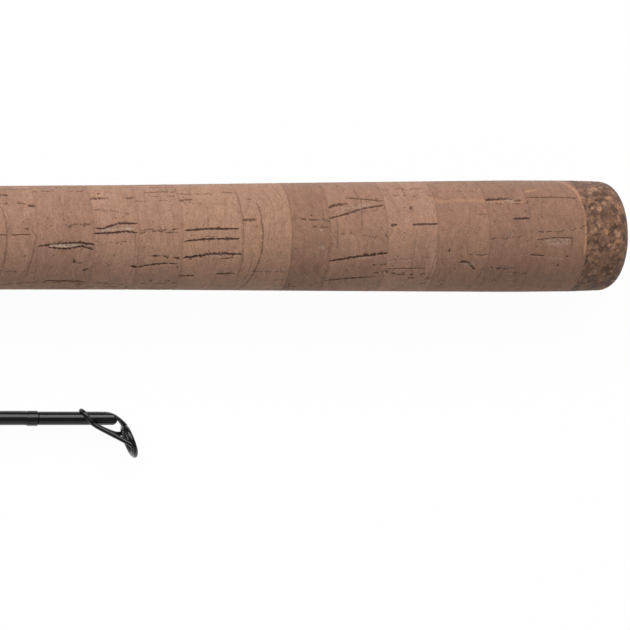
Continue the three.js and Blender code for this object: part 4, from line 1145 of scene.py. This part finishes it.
def blanks():
    """The butt blank is a tube, and its thinner end fits the socket in the tip section's blank."""
    rows = rows_of("butt_blank")
    start, end = rows[0][0], rows[-1][0]
    male = end - FERRULE_LENGTH
    for name, first, last, finish in (
        ("butt_section_blank", start, male, gloss_black),
        ("ferrule_male_end", male, end, ground_black),
    ):
        outside = [(at, radius_of_blank(at)) for at in steps_between(first, last, 60)]
        if finish is ground_black:
            outside = [*outside[:-1], (last - 0.4, outside[-1][1]), (last, outside[-1][1] - 0.3)]
        inside = [(at, radius_of_blank(at) - BLANK_WALL) for at in (last, first)]
        finished(name, turned([*outside, *inside], 64, closed=True), "butt_blank", finish)

    start, end = tip_rows[0][0], tip_rows[-1][0]
    rows = [(start, 0), *((at, radius_of_tip_blank(at)) for at in steps_between(start, end - 0.3, 50))]
    rows += [(end, radius_of_tip_blank(end) - 0.2)]
    for depth in (0.0, FERRULE_LENGTH):
        rows.append((end - depth, radius_of_blank(male + depth) + SOCKET_CLEARANCE))
    bm = turned([*rows, (end - FERRULE_LENGTH - 1, 0)], 48)
    finished("tip_section_blank", bm, "tip_blank", gloss_black, place=IN_TIP)


# Guides. Each stands on +Y at station 0 of its own frame, with the rod's tip towards -X.
FOOT_THICKNESS = 0.7
TOE_THICKNESS = 0.25
FOOT_REST = 0.2
INSERT_PROUD = 0.2
INSERT_SHARE = 0.58
BAND_CROWN = 0.3
BAND_EDGE = 0.45
RING_STEPS = 96
FRONT_SPREAD = math.radians(24)
REAR_SPREAD = math.radians(62)
FOOT_OVERLAP = 0.4
HEEL_SHOW = 1.0
PAST_TOE = 2.0

# The thread and its epoxy, which runs out thin at both ends
WRAP_OVER_BLANK = 0.65
WRAP_UNDER_BLANK = 0.42
WRAP_OVER_FOOT = 0.7
EPOXY_END = 1.7
EPOXY_RUN = 2.8
INTO_BLANK = 0.04
THIN = 0.02
COLLAR = 2.6
COLLAR_PROUD = 0.1
COLLAR_SAG = 0.08


class Foot:
    """Where a guide's foot starts and ends, and how high it lies on the blank below it."""

    def __init__(self, station, way, reach, toe, rest, place, blank_at):
        self.reach, self.toe, self.rest, self.place = reach, toe, rest, place
        self.blank_at = lambda at: blank_at(station + way * at)

    def thickness(self, share):
        """How thick the foot is at a share of its length from heel to toe."""
        return FOOT_THICKNESS + (TOE_THICKNESS - FOOT_THICKNESS) * share


class Guide(Foot):
    """A guide's place and sizes, measured from the frame."""

    def __init__(self, name, reach, foot_width, wire, place, blank_at):
        self.name, self.width, self.wire = name, foot_width, wire
        low, high = corners(f"{name}_frame", place)
        ring_low, ring_high = corners(f"{name}_ring", place)
        way = 1 if high.y > -low.y else -1
        station = -(ring_low.x + ring_high.x) / 2
        self.height = way * (ring_low.y + ring_high.y) / 2
        self.band = ring_high.x - ring_low.x - 2 * INSERT_PROUD
        self.ring = max(high.y, -low.y) - self.height
        points = points_of(f"{name}_ring", place)
        self.bore = min(math.hypot(abs(point.y) - self.height, point.z) for point in points)
        self.seam = self.bore + INSERT_SHARE * (self.ring - self.bore)
        toe = high.x + station if way < 0 else -low.x - station
        rest = max(blank_at(station + toe), blank_at(station - toe)) + FOOT_REST
        turn = Matrix.Rotation(0 if way > 0 else math.pi, 4, "Z")
        here = place @ Matrix.Translation((-station, 0, 0)) @ turn
        super().__init__(station, way, reach, toe, rest, here, blank_at)

    def on_band(self, spread):
        """A place in the band, at an angle from its lowest point."""
        radius = (self.ring + self.seam) / 2
        return Vector((0, self.height - radius * math.cos(spread), radius * math.sin(spread)))


def band_shape(half, outer, seam):
    """A guide's band: crowned, with its edges broken."""
    edge = outer - BAND_EDGE
    rows = [(-half, seam), (-half, edge)]
    for turn in steps_between(-1.25, 1.25, 0.25):
        rows.append((half * math.sin(turn), outer - BAND_CROWN * math.sin(turn) ** 2))
    return turned([*rows, (half, edge), (half, seam)], RING_STEPS, closed=True)


def insert_shape(half, seam, bore):
    """A guide's ceramic ring: rounded on the inside, where the line runs."""
    rows = []
    for turn in steps_between(0, math.pi, 0.22):
        rows.append((half * math.cos(turn), seam - (seam - bore) * math.sin(turn) ** 0.8))
    return turned(rows, RING_STEPS, closed=True)


def leg_and_foot(bm, guide, way, spread):
    """Two legs that run down from the band and flatten into one foot."""
    ground = guide.rest + FOOT_THICKNESS / 2
    wire = guide.wire / 2
    for side in (-1, 1):
        top = guide.on_band(side * spread)
        heel = Vector((-way * guide.reach, ground, guide.width / 4 * side))
        middle = top.lerp(heel, 0.55) + Vector((0, 0.02 * guide.height, 0))
        end = heel + Vector((-way * 1.6, 0, 0))
        path = rounded([top, middle, top.lerp(heel, 0.93), heel, end], 6)
        sizes = [(wire, wire * 0.9), (wire * 0.92, wire * 0.9), (wire, wire * 0.8)]
        sizes += [(wire * 1.1, FOOT_THICKNESS / 2), (wire * 0.9, FOOT_THICKNESS * 0.4)]
        swept(bm, path, blended(sizes, len(path)), (-way, 1, 0), sides=14)
    path, sizes = [], []
    start = guide.reach - guide.wire * FOOT_OVERLAP
    for share in np.linspace(0, 1, 14):
        thick = guide.thickness(share)
        path.append((-way * (start + (guide.toe - start) * share), guide.rest + thick / 2, 0))
        past = max(0, abs(share - 0.5) * 2 - 0.84) / 0.16
        sizes.append((guide.width / 2 * math.sqrt(max(0.06, 1 - 0.9 * past ** 2)), thick / 2))
    swept(bm, path, sizes, (0, 1, 0), sides=20)


def guide_on(section, name, reach, foot_width, wire, double=False):
    """A whole guide: its frame, its ceramic ring and the wraps over its feet."""
    guide = Guide(name, reach, foot_width, wire, *section)
    half = guide.band / 2
    rise = Matrix.Translation((0, guide.height, 0))
    bm = added(bmesh.new(), band_shape(half, guide.ring, guide.seam), rise)
    leg_and_foot(bm, guide, 1, FRONT_SPREAD if double else REAR_SPREAD)
    if double:
        leg_and_foot(bm, guide, -1, REAR_SPREAD)
    finished(f"{name}_guide_frame", bm, f"{name}_frame", plated, place=guide.place)
    bm = insert_shape(half + INSERT_PROUD, guide.seam, guide.bore)
    finished(f"{name}_guide_ring", bm, f"{name}_ring", ceramic, place=guide.place @ rise)
    wraps = {f"{name}_front_wrap": 1, f"{name}_rear_wrap": -1} if double else {f"{name}_wrap": 1}
    for node, way in wraps.items():
        foot_wrap(guide, node, way)


def foot_wrap(foot, node, way):
    """Thread and epoxy over one foot."""
    heel, toe = foot.reach + HEEL_SHOW, foot.toe + PAST_TOE
    start, end = sorted((way * heel, way * toe))
    outside, inside = 50, 5

    def radius_at(station, angle, marker):
        blank = foot.blank_at(station)
        if marker < (outside + inside) / 2:
            return blank - INTO_BLANK
        from_end = min(station - start, end - station)
        full = math.sin(min(1.0, from_end / EPOXY_RUN) * QUARTER_TURN) ** 0.75
        thick = foot.thickness((way * station - heel) / (toe - heel))
        below = blank + WRAP_UNDER_BLANK * full
        above = blank + (foot.rest + thick + WRAP_OVER_FOOT - blank) * full
        off, radius = (above - below) / 2, (above + below) / 2
        return off * math.cos(angle) + math.sqrt(radius ** 2 - (off * math.sin(angle)) ** 2)

    run_out = [EPOXY_RUN * (1 - math.cos(turn)) for turn in steps_between(0.15, 1.5, 0.15)]
    stations = [start, end, *(start + run for run in run_out), *(end - run for run in run_out)]
    stations += [*steps_between(start + EPOXY_RUN, end - EPOXY_RUN, 1.2)]
    rows = [(station, outside) for station in sorted(stations)]
    bm = reshaped(turned([*rows, (end, inside), (start, inside)], 56, closed=True), radius_at)
    finished(f"{node}_thread", bm, node, thread, place=foot.place)


def tip_wrap(name, node, start=None, collar=0.0):
    """Thread and epoxy on the tip section's bare blank, perhaps with a thicker collar at its start."""
    low, high = corners(node, IN_TIP)
    start, end = -high.x if start is None else start, -low.x
    blank_at = radius_of_tip_blank
    reach = max(high.y, -low.y, high.z, -low.z)
    top = reach - (0.01 if collar else 0)
    ridge = reach + COLLAR_PROUD

    def flat(at):
        return min(top, blank_at(at) + WRAP_OVER_BLANK)

    rows = [(start, blank_at(start) + THIN)]
    if collar:
        rows += [(start + 0.05, reach - 0.2), (start + 0.25, ridge), (start + collar - 0.15, ridge)]
        rows += [(start + collar, ridge - 0.04), (start + collar + 0.2, flat(start + collar))]
    else:
        for turn in steps_between(0.2, 1.5, 0.2):
            rise = WRAP_OVER_BLANK * math.sin(turn)
            rows.append((start + EPOXY_END * (1 - math.cos(turn)), blank_at(start) + rise))
    flat_start, flat_end = start + max(collar + 0.5, EPOXY_END), end - EPOXY_END
    rows += [(at, flat(at)) for at in steps_between(flat_start, flat_end, 2)]
    last = flat(flat_end) - blank_at(end)
    for turn in steps_between(0.15, QUARTER_TURN, 0.2):
        rows.append((end - EPOXY_END * (1 - math.sin(turn)), blank_at(end) + last * math.cos(turn)))
    rows = [(at, max(radius, blank_at(at) + THIN)) for at, radius in rows]
    rows += [(end, blank_at(end) - INTO_BLANK), (start, blank_at(start) - INTO_BLANK)]
    bm = turned(rows, 64, closed=True)
    for vert in bm.verts:
        on_ridge = math.hypot(vert.co.y, vert.co.z) > reach - 0.1
        if collar and on_ridge and start < -vert.co.x < start + collar + 0.3:
            vert.co.y -= COLLAR_SAG
    finished(name, bm, node, thread, place=IN_TIP)


# Hook keeper
KEEPER_STATION = 402
KEEPER_LOOP = 5.8
KEEPER_WIRE = 1.2
KEEPER_REACH = 5.0
KEEPER_TOE = 14.0
KEEPER_FOOT_SHAPE = (0.4, 0.9, 1, 1, 1, 1, 0.85, 0.3)


def hook_keeper():
    """A wire loop on a single foot, wrapped to the blank ahead of the grip."""
    loop, wire, reach = KEEPER_LOOP / 2, KEEPER_WIRE, KEEPER_REACH
    place = Matrix.Translation((-KEEPER_STATION, 0, 0))
    rest = corners("hook_keeper")[1].y - 1.5 * wire - KEEPER_LOOP
    middle = rest + wire + loop
    ring = bmesh.new()
    at = Matrix.Translation((loop, 0, 0)) @ Matrix.Rotation(QUARTER_TURN, 4, "X")
    bmesh.ops.create_circle(ring, segments=16, radius=wire / 2, matrix=at)
    bm = added(bmesh.new(), spun(ring, (0, 0, 1), 48), Matrix.Translation((0, middle, 0)))
    ground = rest + FOOT_THICKNESS / 2
    path = [(-loop, middle, 0), (-loop - 0.5, middle - 1.2, 0), (-reach, ground + 0.3, 0)]
    path = rounded([*path, (-reach - 1, ground, 0), (-reach - 3, ground, 0)], 6)
    sizes = [(wire / 2, wire / 2), (wire / 2, wire / 2), (wire / 2, wire * 0.45)]
    sizes += [(wire * 0.7, FOOT_THICKNESS / 2), (wire * 0.7, FOOT_THICKNESS * 0.45)]
    swept(bm, path, blended(sizes, len(path)), (-1, 1, 0), sides=14)
    foot = Foot(KEEPER_STATION, 1, reach, KEEPER_TOE, rest, place, radius_of_blank)
    shares = np.linspace(0, 1, len(KEEPER_FOOT_SHAPE))
    stations = np.linspace(reach - 0.3, KEEPER_TOE, len(KEEPER_FOOT_SHAPE))
    path = [(-station, rest + foot.thickness(share) / 2, 0) for share, station in zip(shares, stations)]
    sizes = [(wire * wide, foot.thickness(share) / 2) for wide, share in zip(KEEPER_FOOT_SHAPE, shares)]
    swept(bm, path, sizes, (0, 1, 0), sides=16)
    finished("hook_keeper_loop", bm, "hook_keeper", plated, place=place)
    foot_wrap(foot, "hook_keeper_wrap", 1)


# Tip-top
TUBE_RADIUS = 1.65
TUBE_LOW = 0.08
TUBE_LENGTH = 19.5
TUBE_END_ROUND = 1.25
TIP_RING_AHEAD = 3.2
TIP_RING_LEAN = math.radians(21)
TIP_WIRE = 1.15
TIP_BORE = 5.3
TIP_BAND = 1.1
CROSSING_BACK = 8.9
WIRE_LEAN = (0.31, 0.95, 0.02)
FAR_WIRE_END = (2.6, -4.3, 3.6)
TONGUE_START = -3.3
TONGUE_STOP = 2.5
TONGUE_BEND = 11
TONGUE_STEPS = 24
TONGUE_SIZES = [(0.40, 0.80), (0.42, 0.95), (0.43, 1.05), (0.44, 1.15), (0.58, 1.25), (0.72, 1.20)]


def tongue_top(ahead):
    """The back of the tongue, which bends down from the top of the tube to the ring."""
    return TUBE_RADIUS - TUBE_LOW - max(0, ahead - TONGUE_START) ** 2 / TONGUE_BEND


def tip_tube():
    """The tube over the blank's end, rounded and pressed flat under the tongue."""
    bore = radius_of_tip_blank(TUBE_LENGTH)
    rows = [(0, 0)]
    for turn in steps_between(0, QUARTER_TURN, 0.15):
        radius = TUBE_RADIUS - TUBE_END_ROUND * (1 - math.sin(turn))
        rows.append((TUBE_END_ROUND * (1 - math.cos(turn)), radius))
    rows += [(at, TUBE_RADIUS) for at in steps_between(2, TUBE_LENGTH - 0.3, 2)]
    rows += [(TUBE_LENGTH - 0.1, TUBE_RADIUS - 0.03), (TUBE_LENGTH, TUBE_RADIUS - 0.12)]
    bm = turned([*rows, (TUBE_LENGTH, bore), (1, bore - 0.03), (1, 0)], 64)
    for vert in bm.verts:
        vert.co.y = min(vert.co.y - TUBE_LOW, tongue_top(vert.co.x) - 0.02)
    return bm


def tip_wire(bm):
    """The wire, which crosses over the tube and runs down to the ring on both sides."""
    over = TUBE_RADIUS + TIP_WIRE * 0.08
    side = TIP_RING / 2 - TIP_WIRE / 2
    over_tube = [
        (-CROSSING_BACK, over, 0),
        (-CROSSING_BACK + over * 0.35, over * 0.7, over * 0.8),
        (-CROSSING_BACK + over, -over * 0.15, over * 1.05),
        (-CROSSING_BACK + over * 2, -over, over * 1.15),
    ]
    near_end = (TIP_RING_AHEAD, -TIP_RING_DROP - TIP_WIRE / 2, side)
    near = [*over_tube, (0, -TIP_RING_DROP * 0.8, side * 0.82), near_end]
    far = [*over_tube[1:], (0, -TIP_RING_DROP * 0.75, side * 0.82), FAR_WIRE_END]
    path = rounded([*[(x, y, -z) for x, y, z in reversed(far)], *near], 9)
    swept(bm, path, [(TIP_WIRE / 2, TIP_WIRE / 2)] * len(path), WIRE_LEAN, sides=20)


def tip_tongue(bm):
    """The pressed tongue that holds the ring's back."""
    sizes = blended(TONGUE_SIZES, TONGUE_STEPS)
    path = []
    for at, (half, _) in zip(np.linspace(TONGUE_START, TONGUE_STOP, TONGUE_STEPS), sizes):
        ahead = Vector((1, -2 * (at - TONGUE_START) / TONGUE_BEND, 0)).normalized()
        path.append(Vector((at, tongue_top(at), 0)) + Vector((ahead.y, -ahead.x, 0)) * half)
    swept(bm, path, sizes, (0, 0, 1), sides=28)


def tip_top():
    """The tip-top: a tube over the blank's end, a leaning ring, and a wire that crosses over the tube."""
    lean = Matrix.Rotation(TIP_RING_LEAN, 4, "Z")
    ring_place = Matrix.Translation((TIP_RING_AHEAD, -TIP_RING_DROP, 0)) @ lean
    seam = TIP_BORE / 2 + INSERT_SHARE * (TIP_RING - TIP_BORE) / 2
    bm = tip_tube()
    added(bm, band_shape(TIP_BAND / 2, TIP_RING / 2, seam), ring_place)
    tip_wire(bm)
    tip_tongue(bm)
    finished("tip_top_frame_and_tube", bm, "tip_top_frame", plated, place=IN_TIP)
    bm = insert_shape(TIP_BAND / 2 + INSERT_PROUD, seam, TIP_BORE / 2)
    finished("tip_top_ceramic_ring", bm, "tip_top_ring", ceramic, place=IN_TIP @ ring_place)
    tip_wrap("tip_top_thread", "tip_top_wrap", TUBE_LENGTH, COLLAR)


# The rod
BUTT_SECTION = (IN_BUTT, radius_of_blank)
TIP_SECTION = (IN_TIP, radius_of_tip_blank)
grip_cap()
cork_grips()
fore_trim()
trim_rings()
reel_seat()
for name, sizes in HOODS.items():
    hood(name, *sizes)
lock_nut()
for node in ("rear_arbor", "front_arbor"):
    arbor = frame["nodes"][node].data
    arbor.materials.clear()
    arbor.materials.append(foam)
blanks()
guide_on(BUTT_SECTION, "stripper", 17, 3.6, 1.5, double=True)
guide_on(TIP_SECTION, "guide16", 12, 3, 1.3, double=True)
for name in ("guide12", "guide10", "guide8_inner", "guide8_outer"):
    guide_on(TIP_SECTION, name, 5, 1.8, 1.1)
hook_keeper()
tip_top()
tip_wrap("ferrule_thread", "ferrule_wrap")


# Floor, light and camera
FLOOR_HALF = 2500
FLOOR_MIDDLE = -500
WHITE_SHARE = 0.97
SECTION_MIDDLE = -0.55
ROOM_LIGHT = 0.2
TILT = math.radians(17.0)
ROLL = math.radians(-0.686)
TARGET = (-78.843, -19.169, 0.0)
CAMERA_DISTANCE = 650
PICTURE_HALF = 315
PIXELS_AT_ONE = 2653.2


def table():
    """A white floor. It looks white to the camera, and shows only a faint shadow."""
    paper = Finish("white paper")
    paper.surface(base_color=PAPER, roughness=0.9, specular_ior_level=0.1)
    seen = paper.add("LightPath").outputs
    white = seen["Is Camera Ray"]
    for ray in ("Is Glossy Ray", "Is Transmission Ray"):
        white = paper.reckoned("MAXIMUM", white, seen[ray])
    glow = paper.add("Emission", {"Strength": 1.0}).outputs[0]
    both = {0: paper.times(white, WHITE_SHARE), 1: paper.shader.outputs[0], 2: glow}
    paper.feed(paper.tree.nodes["Material Output"], "Surface", paper.add("MixShader", both).outputs[0])

    top = bmesh.new()
    bmesh.ops.create_grid(top, x_segments=1, y_segments=1, size=FLOOR_HALF)
    mesh = bpy.data.meshes.new("floor")
    top.to_mesh(mesh)
    top.free()
    mesh.transform(Matrix.Scale(MM, 4) @ Matrix.Translation((FLOOR_MIDDLE, 0, TABLE)))
    mesh.materials.append(paper.material)
    floor = bpy.data.objects.new("floor", mesh)
    bpy.context.scene.collection.objects.link(floor)


def softbox(name, angle, distance, length, width, radiance):
    """A soft light, at an angle from straight above towards the reel side. Its sizes are in metres."""
    lamp = bpy.data.lights.new(name, "AREA")
    lamp.shape = "RECTANGLE"
    lamp.size, lamp.size_y = length, width
    lamp.energy = radiance * math.pi * length * width
    box = bpy.data.objects.new(name, lamp)
    bpy.context.scene.collection.objects.link(box)
    turn = Matrix.Rotation(-math.radians(angle), 4, "X")
    over = Matrix.Translation((SECTION_MIDDLE, 0, 0))
    box.matrix_world = over @ turn @ Matrix.Translation((0, 0, distance))


def light():
    """A large soft light on the reel side, a weak one against it, and a little light all round."""
    softbox("softbox", 37, 1.2, 2.6, 0.95, 3.5)
    softbox("fill", -68, 1.1, 2.6, 0.7, 0.55)
    world = bpy.data.worlds.new("room")
    bpy.context.scene.world = world
    world.use_nodes = True
    room = world.node_tree.nodes["Background"]
    room.inputs["Color"].default_value = (1, 1, 1, 1)
    room.inputs["Strength"].default_value = ROOM_LIGHT


def camera():
    """The photograph's view: nearly straight down, leaning towards the rod's tip."""
    ahead = Vector((math.sin(TILT), 0, -math.cos(TILT)))
    right = Vector((math.cos(TILT), 0, math.sin(TILT)))
    up = Vector((0, 1, 0))
    right, up = right * math.cos(ROLL) + up * math.sin(ROLL), up * math.cos(ROLL) - right * math.sin(ROLL)
    lens = bpy.data.cameras.new("camera")
    lens.sensor_fit = "HORIZONTAL"
    lens.angle = 2 * math.atan(PICTURE_HALF / PIXELS_AT_ONE)
    lens.clip_start = 0.01
    lens.clip_end = 20
    view = bpy.data.objects.new("camera", lens)
    bpy.context.scene.collection.objects.link(view)
    view.matrix_world = Matrix((right, up, -ahead)).transposed().to_4x4()
    view.matrix_world.translation = (Vector(TARGET) - ahead * CAMERA_DISTANCE) * MM
    bpy.context.scene.camera = view


table()
light()
camera()
bpy.context.scene.view_settings.view_transform = "Standard"
